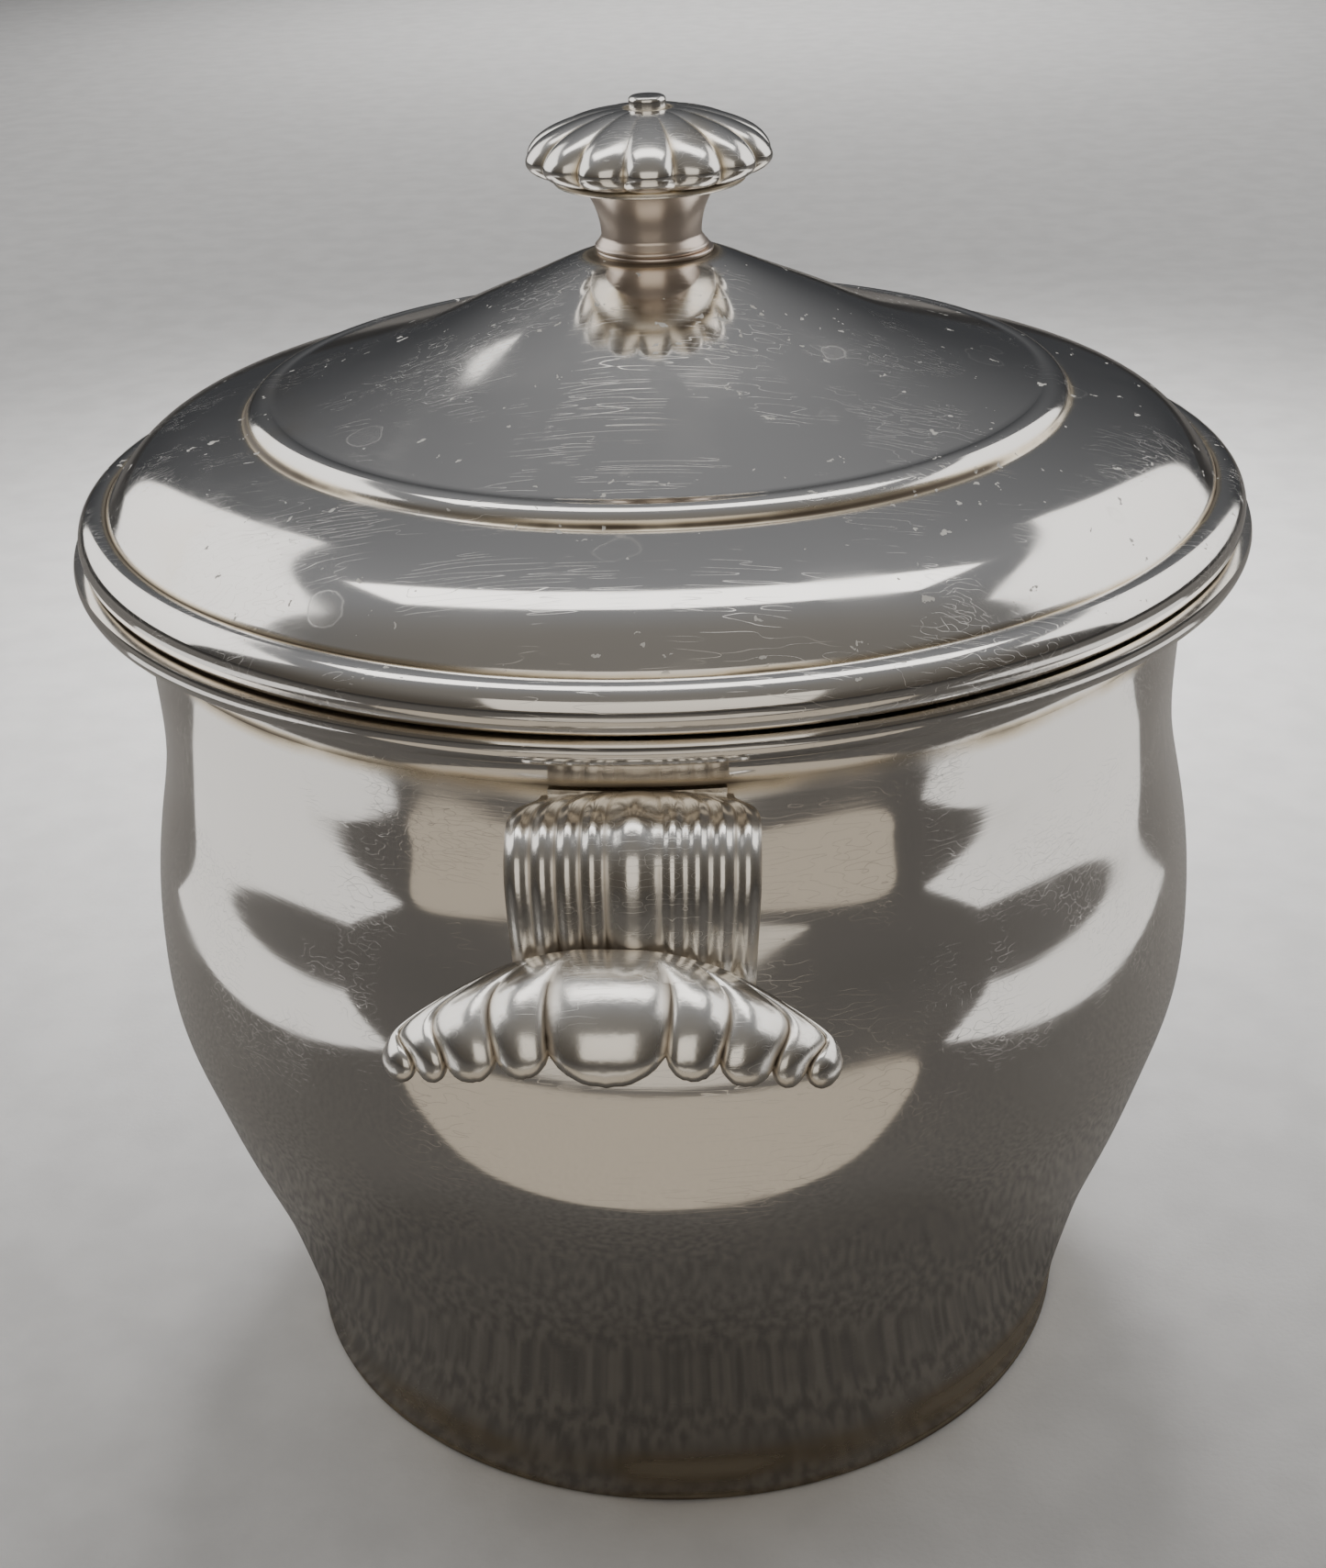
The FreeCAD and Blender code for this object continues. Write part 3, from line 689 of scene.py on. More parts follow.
class Outline:
    """A closed outline in millimetres from the axis and above the table, for a turned piece."""

    def __init__(self, start: Point) -> None:
        """Starts at a corner.

        Args:
            start: distance from the axis and height.
        """
        self.points: list[Point] = [start]

    def _extend(self, rows: np.ndarray) -> "Outline":
        """Adds rows after the last point.

        Args:
            rows: points, of which the first is already in the outline.

        Returns:
            The outline.
        """
        self.points += [(float(r), float(z)) for r, z in rows[1:]]
        return self

    def line(self, end: Point, step: float = 3.0) -> "Outline":
        """A straight run, divided so that its shading stays even.

        Args:
            end: where it ends.
            step: about how far apart its points are.

        Returns:
            The outline.
        """
        start = self.points[-1]
        count = max(2, int(math.dist(start, end) / step) + 1)
        return self._extend(np.linspace(start, end, count))

    def arc(self, middle: Point, end: Point, step: float = 0.8) -> "Outline":
        """An arc through a middle point.

        Args:
            middle: a point on the arc.
            end: where it ends.
            step: about how far apart its points are.

        Returns:
            The outline.
        """
        start = self.points[-1]
        count = max(6, int((math.dist(start, middle) + math.dist(middle, end)) / step))
        return self._extend(arc_through(start, middle, end, count))

    def curve(self, *corners: Point, step: float = 1.5) -> "Outline":
        """A smooth curve through several points.

        Args:
            corners: the points after the outline's last one.
            step: about how far apart the curve's points are.

        Returns:
            The outline.
        """
        known = [self.points[-1], *corners]
        length = sum(math.dist(a, b) for a, b in zip(known[:-1], known[1:]))
        return self._extend(natural_curve(known, max(6, int(length / step))))


class Wear:
    """Where dirt and tarnish gather on a turned piece."""

    def __init__(self, *crevices: tuple[float, float, float]) -> None:
        """Keeps the crevices.

        Args:
            crevices: distance from the axis, height, and how far dirt spreads, in millimetres.
        """
        self.crevices = crevices

    def at(self, point: Point) -> float:
        """How dirty a point of the outline is.

        Args:
            point: the point.

        Returns:
            From 0 for clean to 1.
        """
        return min(1.0, sum(math.exp(-(math.dist(point, (r, z)) / spread) ** 2) for r, z, spread in self.crevices))


# ---------------------------------------------------------------- geometry nodes
def reading(graph: Graph, name: str) -> Socket:
    """A number that each point of a mesh carries.

    Args:
        graph: the geometry tree's graph.
        name: the attribute's name.

    Returns:
        The number's socket.
    """
    return graph.add("GeometryNodeInputNamedAttribute", {"Name": name}, data_type="FLOAT").outputs[0]


def turning_tree() -> bpy.types.NodeTree:
    """The tree that turns an outline about the bucket's axis and raises lobes on it.

    Returns:
        The geometry tree, built on first use.
    """
    tree = bpy.data.node_groups.get("turned_wall")
    if tree is not None:
        return tree
    tree = bpy.data.node_groups.new("turned_wall", "GeometryNodeTree")
    for name, kind in (("Geometry", "Geometry"), ("Segments", "Int"), ("Path Radius", "Float"), ("Lobes", "Float"),
                       ("Lobe Turn", "Float"), ("Finish", "Material")):
        tree.interface.new_socket(name, in_out="INPUT", socket_type="NodeSocket" + kind)
    tree.interface.new_socket("Geometry", in_out="OUTPUT", socket_type="NodeSocketGeometry")
    lobe_shape, grime_shape, grime_gain, weld_distance = 2.4, 7.0, 420.0, 0.000002
    graph = Graph(tree)
    given = graph.add("NodeGroupInput").outputs
    profile = graph.add("GeometryNodeMeshToCurve", {"Mesh": given["Geometry"]}).outputs["Curve"]
    path = graph.add("GeometryNodeCurvePrimitiveCircle", {"Resolution": given["Segments"],
                                                          "Radius": given["Path Radius"]}).outputs["Curve"]
    upright = graph.add("GeometryNodeSetCurveNormal", {"Curve": path}, mode="Z_UP").outputs["Curve"]
    sweep = graph.add("GeometryNodeCurveToMesh", {"Curve": upright, "Profile Curve": profile}).outputs["Mesh"]
    x, y, _ = graph.parts(graph.add("GeometryNodeInputPosition").outputs[0])
    turns = graph.times(graph.math("SUBTRACT", graph.math("ARCTAN2", y, x), given["Lobe Turn"]), given["Lobes"])
    phase = graph.plus(graph.math("DIVIDE", turns, 2 * math.pi), 0.5)
    across = graph.math("SUBTRACT", graph.times(graph.math("FRACT", phase), 2.0), 1.0)
    beside = graph.math("ABSOLUTE", across)
    crease = reading(graph, "crease")
    sunk = graph.times(graph.math("POWER", beside, lobe_shape), crease)
    unit = graph.vector("NORMALIZE", {0: graph.add("ShaderNodeCombineXYZ", {0: x, 1: y}).outputs[0]})
    inwards = graph.vector("SCALE", {0: unit, "Scale": graph.times(sunk, -1.0)})
    shape = graph.add("GeometryNodeSetPosition", {"Geometry": sweep, "Offset": inwards}).outputs["Geometry"]
    in_crease = graph.times(graph.math("POWER", beside, grime_shape), graph.times(crease, grime_gain))
    dirt = graph.plus(reading(graph, "grime"), in_crease, clamp=True)
    stored = graph.add("GeometryNodeStoreNamedAttribute", {"Geometry": shape, "Name": "grime", "Value": dirt},
                       data_type="FLOAT", domain="POINT")
    for kind, feeds in (("MergeByDistance", {"Distance": weld_distance}), ("RealizeInstances", {}),
                        ("SetMaterial", {"Material": given["Finish"]})):
        stored = graph.add("GeometryNode" + kind, {"Geometry": stored.outputs["Geometry"], **feeds})
    graph.add("NodeGroupOutput", {"Geometry": stored.outputs["Geometry"]})
    return tree


def outward(mesh: bpy.types.Mesh, sharp: float = 42.0) -> bpy.types.Mesh:
    """Turns a closed mesh's faces outwards and shades it smooth between sharp edges.

    Args:
        mesh: the mesh, with no doubled points.
        sharp: the angle in degrees past which an edge stays sharp.

    Returns:
        The same mesh.
    """
    work = bmesh.new()
    work.from_mesh(mesh)
    bmesh.ops.recalc_face_normals(work, faces=work.faces)
    work.to_mesh(mesh)
    work.free()
    mesh.shade_smooth()
    mesh.set_sharp_from_angle(angle=math.radians(sharp))
    return mesh


def finished(name: str, mesh: bpy.types.Mesh, finish: Finish, body: str, nodes: Sequence[str]) -> bpy.types.Object:
    """Links a finished mesh into the scene, gives it its finish, parents it to its body and hides the frame's nodes
    that it stands for.

    Args:
        name: the piece's name.
        mesh: its mesh, already in place.
        finish: its finish.
        body: the body that it rides on.
        nodes: the frame's nodes that it stands for.

    Returns:
        The piece.
    """
    piece = bpy.data.objects.new(name, mesh)
    bpy.context.scene.collection.objects.link(piece)
    mesh.name = name
    mesh.materials.clear()
    mesh.materials.append(finish.material())
    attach(piece, body)
    finish.slot
    if nodes:
        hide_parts(*nodes)
    LOG.info("%s: %d faces on %s", name, len(mesh.polygons), body)
    return piece


def dress(nodes: dict[str, bpy.types.Object], finish: Finish, *names: str) -> None:
    """Gives a finish to pieces that keep their own shape.

    Args:
        nodes: the frame's nodes by name.
        finish: the finish they get.
        names: which nodes get it.
    """
    for name in names:
        piece = nodes[name]
        if not piece.data.materials:
            piece.data.materials.append(None)
        for entry in piece.material_slots:
            entry.link = "OBJECT"
            entry.material = finish.material()
        LOG.info("%s: dressed as %s", name, finish.name.lower())


@dataclass
class TurnedPiece:
    """A piece turned about the bucket's axis from its outline."""

    name: str
    outline: Outline
    finish: Finish
    body: str
    wear: Wear = field(default_factory=Wear)
    segments: int = 256
    lobes: int = 0
    lobe_turn: float = 0.0
    crease: Callable[[Point], float] = lambda point: 0.0
    shift: float = 0.0
    path_radius: float = 0.05
    same_point: float = 1e-6

    def base(self) -> bpy.types.Object:
        """The outline as a closed chain of edges that carries its wear and crease depth.

        Returns:
            An object with the chain, to be turned.
        """
        points = self.outline.points
        if math.dist(points[0], points[-1]) < self.same_point:
            points = points[:-1]
        mesh = bpy.data.meshes.new(self.name + "_outline")
        corners = [(r * MM - self.path_radius, -z * MM, 0.0) for r, z in points]
        edges = [(k, (k + 1) % len(corners)) for k in range(len(corners))]
        mesh.from_pydata(corners, edges, [])
        for label, reading in (("grime", self.wear.at), ("crease", lambda p: self.crease(p) * MM)):
            layer = mesh.attributes.new(label, "FLOAT", "POINT")
            layer.data.foreach_set("value", [reading(point) for point in points])
        outline = bpy.data.objects.new(self.name + "_outline", mesh)
        bpy.context.scene.collection.objects.link(outline)
        return outline

    def make(self) -> bpy.types.Object:
        """Turns the outline and makes the finished piece.

        Returns:
            The finished piece.
        """
        outline = self.base()
        modifier = outline.modifiers.new("turn", "NODES")
        modifier.node_group = turning_tree()
        sockets = {item.name: item.identifier for item in modifier.node_group.interface.items_tree
                   if item.in_out == "INPUT"}
        for label, value in (("Segments", self.segments), ("Path Radius", self.path_radius),
                             ("Lobes", float(self.lobes)), ("Lobe Turn", self.lobe_turn),
                             ("Finish", self.finish.material())):
            modifier[sockets[label]] = value
        graph = bpy.context.evaluated_depsgraph_get()
        mesh = bpy.data.meshes.new_from_object(outline.evaluated_get(graph), preserve_all_data_layers=True,
                                               depsgraph=graph)
        bpy.data.objects.remove(outline)
        if self.shift:
            mesh.transform(Matrix.Translation((self.shift * MM, 0.0, 0.0)))
        return finished(self.name + "_silver", outward(mesh), self.finish, self.body, [self.name])


# ---------------------------------------------------------------- sub-assemblies
@dataclass
class BucketWall:
    """The spun wall, its rim moulding and the plates under it."""

    nodes: dict[str, bpy.types.Object]
    foot_radius: float = 69.4
    foot_inside: float = 66.0
    ledge_radius: float = 58.0
    ledge_height: float = 8.0
    neck_radius: float = 84.2
    neck_height: float = 131.0
    mouth_height: float = 151.0
    sheet: float = 1.2
    rim_radius: float = 94.2
    rim_inside: float = 84.25
    rim_top: float = 151.35
    cove_foot: float = 141.0
    belly: tuple[Point, ...] = ((70.2, 9.0), (72.3, 18.8), (76.0, 32.5), (81.2, 47.0), (85.6, 61.2),
                                (88.1, 70.8), (88.8, 82.5), (88.0, 95.0), (86.2, 105.5), (84.4, 115.0))

    def wall(self) -> bpy.types.Object:
        """The wall with its rolled foot and the ledge that carries the base plate.

        Returns:
            The finished piece.
        """
        thin, ledge = self.sheet, self.ledge_height
        inside = [(r - thin, z) for r, z in reversed(self.belly)]
        outline = Outline((68.6, 0.0)).arc((69.2, 0.3), (self.foot_radius, 1.0), 0.3)
        outline.curve(*self.belly, (self.neck_radius, self.neck_height))
        outline.line((self.neck_radius, self.mouth_height)).line((self.neck_radius - thin, self.mouth_height))
        outline.line((self.neck_radius - thin, self.neck_height))
        outline.curve(*inside, (self.foot_radius - thin, 1.3), step=3.0)
        outline.line((self.foot_inside + thin, 1.3)).line((self.foot_inside + thin, ledge + thin))
        outline.line((self.ledge_radius, ledge + thin)).line((self.ledge_radius, ledge))
        outline.line((self.foot_inside, ledge)).line((self.foot_inside, 0.0)).line((68.6, 0.0))
        wear = Wear((self.neck_radius, self.cove_foot, 1.4), (self.foot_radius, 0.0, 1.6), (67.0, ledge, 5.0))
        return TurnedPiece("body_shell", outline, Finish.BODY, "bucket", wear, segments=288).make()

    def rim(self) -> bpy.types.Object:
        """The moulding round the mouth: a cove under a rounded band.

        Returns:
            The finished piece.
        """
        edge, top, foot, cove_end = self.rim_radius, self.rim_top, self.cove_foot, (91.9, 148.3)
        outline = Outline((self.rim_inside, foot)).line((85.2, foot)).arc((87.0, 146.0), cove_end, 0.5)
        outline.arc((92.9, 147.9), (edge - 0.5, 148.6), 0.25).arc((edge, 149.9), (edge - 0.2, top), 0.25)
        outline.line((self.rim_inside, top)).line((self.rim_inside, foot))
        wear = Wear((*cove_end, 0.6), (85.0, foot, 1.0), (edge - 0.6, top + 0.05, 0.35))
        return TurnedPiece("rim_moulding", outline, Finish.BODY, "bucket", wear, segments=320).make()

    def build(self) -> None:
        """Makes the wall and rim and dresses the plates and the screw under them."""
        self.wall()
        self.rim()
        dress(self.nodes, Finish.PLATED, "base_plate", "flask_seat")
        dress(self.nodes, Finish.STEEL, "base_screw", "base_washer", "base_nut")


@dataclass
class Flask:
    """The vacuum flask with its cushion, gasket and collar."""

    nodes: dict[str, bpy.types.Object]

    def build(self) -> None:
        """Dresses every piece of the flask."""
        dress(self.nodes, Finish.GLASS, "flask_outer", "flask_inner", "flask_tip")
        dress(self.nodes, Finish.SPACER, "flask_spacers")
        dress(self.nodes, Finish.CUSHION, "flask_cushion")
        dress(self.nodes, Finish.SEAL, "mouth_gasket")
        dress(self.nodes, Finish.COLLAR, "mouth_collar")


@dataclass
class Station:
    """One section across a handle: where its plane stands and how wide and deep it is."""

    reach: float
    height: float
    tilt: float
    half: float
    top: float
    end: float
    spread: float
    puff: float


@dataclass
class Handle:
    """One handle: a fluted strap bent down from the neck to a scallop shell."""

    nodes: dict[str, bpy.types.Object]
    side: str
    turn: float
    core_radius: float = 85.86
    strap_sheet: float = 3.0
    strap_start: float = 85.0
    strap_end_height: float = -0.8
    strap_weights: tuple[float, ...] = (1.0, 1.0, 0.2, 1.0, 20.0)
    strap_columns: int = 10
    strap_rows: int = 84
    middle_flat: float = 0.16
    shell_sheet: float = 1.8
    shell_weights: tuple[float, ...] = (0.2, 1.0, 1.0, 1.0, 10.0, 10.0)
    shell_columns: int = 14
    shell_rows: int = 120
    shell_rows_kept: int = 44
    shell_back: float = 0.985
    lobe_width: float = 8.0
    lip_gap: float = 0.95
    lip_points: tuple[int, int] = (4, 5)
    pivot_reach: float = 104.5
    pivot_height: float = 110.3
    shell_offset: float = -2.9
    shell_tilt: float = 1.3
    strap_ribs: tuple[float, ...] = (0.215, 0.41, 0.605, 0.8, 1.0)
    shell_ribs: tuple[float, ...] = (0.24, 0.465, 0.69, 0.835, 1.0)
    lip_valleys: tuple[float, ...] = (119.8, 118.1, 115.9, 114.4, 113.6)
    lip_lowest: tuple[float, ...] = (118.4, 118.2, 116.3, 114.2, 112.7)
    strap_path: tuple[tuple[float, ...], ...] = (
        (84.0, 140.4, 0.0, 12.8, 0.02), (87.6, 141.2, 0.0, 13.2, 0.04), (90.4, 141.6, 4.0, 15.2, 0.10),
        (93.6, 141.6, 10.0, 16.3, 0.16), (97.2, 140.5, 26.0, 16.5, 0.20), (100.0, 138.1, 48.0, 16.5, 0.20),
        (101.8, 134.2, 70.0, 16.4, 0.20), (103.1, 128.4, 80.0, 16.0, 0.20), (103.5, 121.0, 90.0, 15.5, 0.18))
    shell_path: tuple[tuple[float, ...], ...] = (
        (90.0, 17.5, 6.5, 26.0, 0.72, 0.01), (80.0, 17.7, 6.2, 27.6, 0.97, 0.06),
        (69.3, 17.6, 6.0, 28.6, 1.11, 0.14), (51.6, 17.3, 5.8, 29.4, 1.10, 0.22),
        (35.7, 16.4, 5.6, 29.8, 1.02, 0.26), (21.5, 14.9, 5.4, 29.8, 1.00, 0.26),
        (4.0, 13.4, 5.4, 29.4, 1.00, 0.26))

    @staticmethod
    def arch(x: float, half: float, top: float, end: float) -> float:
        """Height of an arch that falls from its top to its two ends.

        Args:
            x: the place across it.
            half: half its width.
            top: its height in the middle.
            end: its height at its ends.

        Returns:
            The height at x.
        """
        sag = top - end
        radius = (half ** 2 + sag ** 2) / (2 * sag)
        return top - radius + math.sqrt(max(radius ** 2 - x ** 2, 0.0))

    @staticmethod
    def columns(ribs: Sequence[float], fine: int) -> list[tuple[int, float]]:
        """Divides a fluted face across.

        Args:
            ribs: the ribs' outer edges on one side, as shares of the half width.
            fine: how many parts each rib is divided into.

        Returns:
            The rib's number and the place across it, from -1 to 1, of each column.
        """
        count = 2 * len(ribs) - 1
        spots = [(rib, 2.0 * part / fine - 1.0) for rib in range(count) for part in range(fine)]
        return spots + [(count - 1, 1.0)]

    def face_point(self, ribs: Sequence[float], spot: tuple[int, float], at: Station,
                   wavy: bool) -> tuple[float, float, float]:
        """A point on a fluted face.

        Args:
            ribs: the ribs' edges as shares of the half width.
            spot: the rib's number and the place across it.
            at: the section it lies in.
            wavy: whether the ribs are a soft wave, as on the strap, or plump lobes with sharp creases.

        Returns:
            Its place across, its height over the section's plane, and how deep in a crease it is.
        """
        edges = [at.half * share * at.spread for share in ribs[:-1]] + [at.half]
        marks = [-edge for edge in reversed(edges)] + edges
        rib, u = spot
        low, high = marks[rib], marks[rib + 1]
        x = (low + high) / 2 + u * (high - low) / 2
        left, right = (self.arch(side, at.half, at.top, at.end) for side in (low, high))
        base = (left * (1 - u) + right * (1 + u)) / 2
        if wavy:
            flat = self.middle_flat if rib == len(ribs) - 1 else 0.0
            lift = at.puff * (high - low) * (0.5 + 0.5 * math.cos(math.pi * u) - flat * math.cos(math.pi * u / 2) ** 4)
        else:
            size = self.lobe_width * ((high - low) / self.lobe_width) ** 0.55
            lift = at.puff * size * (1.0 - abs(u) ** 2.3) ** 0.75
        return x, base + lift, abs(u) ** 6 * min(1.0, at.puff * 7.0)

    @staticmethod
    def stand(x: float, y: float, at: Station) -> Vector:
        """Stands a section's point in space, for the handle on the -Y side.

        Args:
            x: the place across the section.
            y: the height over its plane.
            at: the section.

        Returns:
            The point in millimetres.
        """
        tilt = math.radians(at.tilt)
        return Vector((x, -(at.reach + y * math.sin(tilt)), at.height + y * math.cos(tilt)))

    def stations(self, rows: np.ndarray, shell: bool) -> list[Station]:
        """Turns rows of numbers into sections of the strap or the shell.

        Args:
            rows: one row for each section.
            shell: whether they are the shell's.

        Returns:
            The sections.
        """
        if shell:
            return [Station(self.pivot_reach, self.pivot_height, 90.0 - turn, half, top, end, spread, puff)
                    for turn, top, end, half, spread, puff in rows]
        return [Station(reach, height, tilt, half, 0.0, self.strap_end_height, 1.0, max(puff, 0.01))
                for reach, height, tilt, half, puff in rows if reach > self.strap_start]

    @staticmethod
    def between(rows: Sequence[Sequence[float]], weights: Sequence[float], count: int) -> np.ndarray:
        """Fills in rows between known ones along a smooth curve.

        Args:
            rows: the known rows.
            weights: how much each column counts in the curve's length.
            count: how many rows come back.

        Returns:
            The rows.
        """
        return natural_curve(np.array(rows) * weights, count) / weights

    def solid(self, name: str, loops: list[list[Vector]], dirt: list[list[float]], place: Matrix) -> bpy.types.Object:
        """Closes a grid of loops, one for each column, into a solid piece.

        Args:
            name: the node that the piece stands for.
            loops: a closed loop of points for each column.
            dirt: how dirty each point is.
            place: where the piece goes.

        Returns:
            The finished piece.
        """
        size = len(loops[0])
        corners = [place @ point for loop in loops for point in loop]
        faces = []
        for column in range(len(loops) - 1):
            for k in range(size):
                a, b = column * size + k, column * size + (k + 1) % size
                faces.append((a, b, b + size, a + size))
        faces.append(tuple(range(size)))
        faces.append(tuple((len(loops) - 1) * size + k for k in range(size)))
        mesh = bpy.data.meshes.new(name)
        mesh.from_pydata([corner * MM for corner in corners], [], faces)
        layer = mesh.attributes.new("grime", "FLOAT", "POINT")
        layer.data.foreach_set("value", [min(1.0, value) for column in dirt for value in column])
        return finished(name + "_silver", outward(mesh, 60.0), Finish.HANDLE, "bucket", [name])

    def strap(self) -> bpy.types.Object:
        """The fluted strap, from the pad on the neck to behind the shell.

        Returns:
            The finished piece.
        """
        rows = self.between(self.strap_path, self.strap_weights, self.strap_rows)
        sections = self.stations(rows, shell=False)
        loops, dirt = [], []
        for spot in self.columns(self.strap_ribs, self.strap_columns):
            face, back, soil = [], [], []
            for step, at in enumerate(sections):
                x, y, deep = self.face_point(self.strap_ribs, spot, at, wavy=True)
                flat = self.arch(x * 0.98, at.half, 0.0, self.strap_end_height) - self.strap_sheet
                for target, height in ((face, y), (back, flat)):
                    point = self.stand(x if height == y else x * 0.96, height, at)
                    point.y = min(point.y, -math.sqrt(max(self.core_radius ** 2 - point.x ** 2, 0.0)))
                    target.append(point)
                along = step / len(sections)
                near_wall = math.exp(-((at.reach - 86.0) / 2.5) ** 2) * 0.25
                foot = math.exp(-((along - 0.86) / 0.06) ** 2) * 0.8
                soil.append(0.62 * deep + near_wall + foot)
            loops.append(face + back[::-1])
            dirt.append(soil + [0.5] * len(back))
        return self.solid("handle_strap_" + self.side, loops, dirt, Matrix.Rotation(self.turn, 4, "Z"))

    def lip_height(self, x: float, half: float) -> float:
        """Height of the shell's scalloped lower edge at a place across it.

        Args:
            x: the place across it.
            half: half the shell's width.

        Returns:
            The height over the table.
        """
        marks = [half * share for share in self.shell_ribs]
        side = min(abs(x), marks[-1])
        low_edge = 0.0
        for rib, high_edge in enumerate(marks):
            if side <= high_edge:
                break
            low_edge = high_edge
        left = self.lip_valleys[max(rib - 1, 0)] if rib else self.lip_valleys[0]
        right = self.lip_valleys[rib]
        span = high_edge - low_edge if rib else 2 * high_edge
        u = (side - low_edge) / span * 2 - 1 if rib else side / high_edge
        straight = left + (right - left) * (u + 1) / 2 if rib else left
        drop = (left + right) / 2 - self.lip_lowest[rib]
        return straight - drop * (1 - u * u)

    def shell(self) -> bpy.types.Object:
        """The scallop shell: lobes that fan out from the top and end in rounded tongues.

        Returns:
            The finished piece.
        """
        rows = self.between(self.shell_path, self.shell_weights, self.shell_rows)
        sections = self.stations(rows, shell=True)
        half = self.shell_path[-1][3]
        middle_rib, share = len(self.shell_ribs) - 1, self.shell_back
        above, under = self.lip_points
        loops, dirt = [], []
        for spot in self.columns(self.shell_ribs, self.shell_columns):
            outer = [(self.face_point(self.shell_ribs, spot, at, wavy=False), at) for at in sections]
            points = [self.stand(x, y, at) for (x, y, _), at in outer]
            creases = [deep for (_, _, deep), _ in outer]
            backs = [self.stand(x * share, self.arch(min(abs(x), at.half) * share, at.half, at.top, at.end)
                                - self.shell_sheet, at) for (x, _, _), at in outer]
            lip = self.lip_height(points[-1].x, half) + self.lip_gap
            last = max(8, next((k for k, point in enumerate(points) if point.z < lip), len(points) - 1))
            keep = np.unique(np.linspace(0, last, self.shell_rows_kept).astype(int))
            face = [points[k] for k in keep]
            back = [backs[k] for k in keep[::3]]
            middle = (points[last] + backs[last]) / 2
            arm = (points[last] - backs[last]) / 2
            down = (points[last] - points[last - 3]).normalized() * arm.length
            roll = [middle + arm * math.cos(phi) + down * math.sin(phi) * 0.95
                    for phi in np.linspace(0.3, math.pi - 0.3, above + under)]
            soil = [0.75 * creases[k] + 0.55 * math.exp(-((k - last) / 7.0) ** 2) * creases[k] for k in keep]
            edge = math.exp(-((spot[0] - middle_rib) / 6.0) ** 2)
            loops.append(face + roll + back[::-1])
            dirt.append([s + 0.25 * math.exp(-(k / 9.0) ** 2) * edge for s, k in zip(soil, keep)]
                        + [0.35 + 0.3 * creases[last]] * above + [0.75] * under + [0.8] * len(back))
        hinge = Vector((0.0, -self.pivot_reach, self.pivot_height + 10.0))
        lean = (Matrix.Translation((self.shell_offset, 0.0, 0.0)) @ Matrix.Translation(hinge)
                @ Matrix.Rotation(math.radians(self.shell_tilt), 4, "Y") @ Matrix.Translation(-hinge))
        place = Matrix.Rotation(self.turn, 4, "Z") @ lean
        return self.solid("handle_shell_" + self.side, loops, dirt, place)

    def build(self) -> None:
        """Makes the strap and the shell and dresses the pad under them."""
        self.strap()
        self.shell()
        dress(self.nodes, Finish.HANDLE, "handle_pad_" + self.side)


@dataclass
class Lid:
    """The stepped and domed lid with its bead, liner pan, seal and insulation."""

    nodes: dict[str, bpy.types.Object]
    crease_radius: float = 88.2
    crease_height: float = 158.1
    groove_radius: float = 66.2
    groove_height: float = 169.6
    edge_radius: float = 93.0
    bead_inside: tuple[float, float] = (85.5, 87.6)
    seam: float = 151.7
    top_radius: float = 9.2
    top_height: float = 191.9
    dome: tuple[Point, ...] = ((49.5, 175.8), (38.0, 179.8), (28.5, 184.0), (20.0, 187.7), (14.5, 190.2),
                               (11.0, 191.5))

    def shell(self) -> bpy.types.Object:
        """The spun lid from its outer crease over the step to the flat under the knob.

        Returns:
            The finished piece.
        """
        inside = [(r, z - 1.1) for r, z in reversed(self.dome)]
        crease, groove = (self.crease_radius, self.crease_height), (self.groove_radius, self.groove_height)
        outline = Outline((crease[0], crease[1] - 1.0)).line(crease, 0.5)
        outline.curve((82.5, 164.3), (74.0, 167.8), groove, step=0.9)
        outline.arc((65.3, 170.0), (64.9, 170.7), 0.2).arc((63.5, 172.0), (61.0, 172.3), 0.3)
        outline.curve(*self.dome, (self.top_radius, self.top_height), step=0.9)
        under = self.top_height - 1.0
        outline.line((STUD_BORE, self.top_height)).line((STUD_BORE, under)).line((8.8, under))
        outline.curve(*inside, (60.8, 171.2), step=2.5).arc((62.8, 170.8), (63.7, 169.8))
        outline.arc((64.4, 168.9), (65.8, 168.5)).curve((73.7, 166.7), (81.9, 163.4), (86.6, 158.2), step=2.5)
        outline.line((crease[0] - 1.0, crease[1] - 1.0)).line((crease[0], crease[1] - 1.0))
        wear = Wear((65.3, 170.1, 0.9), (88.4, 158.0, 0.7), (9.6, 192.0, 1.6))
        return TurnedPiece("lid_shell", outline, Finish.LID, "lid", wear, segments=300).make()

    def moulding(self) -> bpy.types.Object:
        """The rounded bead round the lid's edge.

        Returns:
            The finished piece.
        """
        crease, foot = (self.crease_radius + 0.05, self.crease_height), (self.edge_radius - 1.0, self.seam)
        under, (inner, outer), flange_top = crease[1] - 1.05, self.bead_inside, 153.05
        outline = Outline(foot).arc((self.edge_radius, 154.7), crease, 0.4)
        outline.line((crease[0], under)).line((inner, under)).line((inner, flange_top))
        outline.line((outer, flange_top)).line((outer, self.seam)).line(foot)
        wear = Wear((88.2, 158.2, 0.7), (self.edge_radius - 0.9, self.seam, 0.4))
        return TurnedPiece("lid_moulding", outline, Finish.LID, "lid", wear, segments=320).make()

    def build(self) -> None:
        """Makes the lid's two visible parts and dresses the pan, seal and insulation."""
        self.shell()
        self.moulding()
        dress(self.nodes, Finish.PLATED, "lid_pan")
        dress(self.nodes, Finish.SEAL, "lid_seal")
        dress(self.nodes, Finish.FOAM, "lid_insulation")


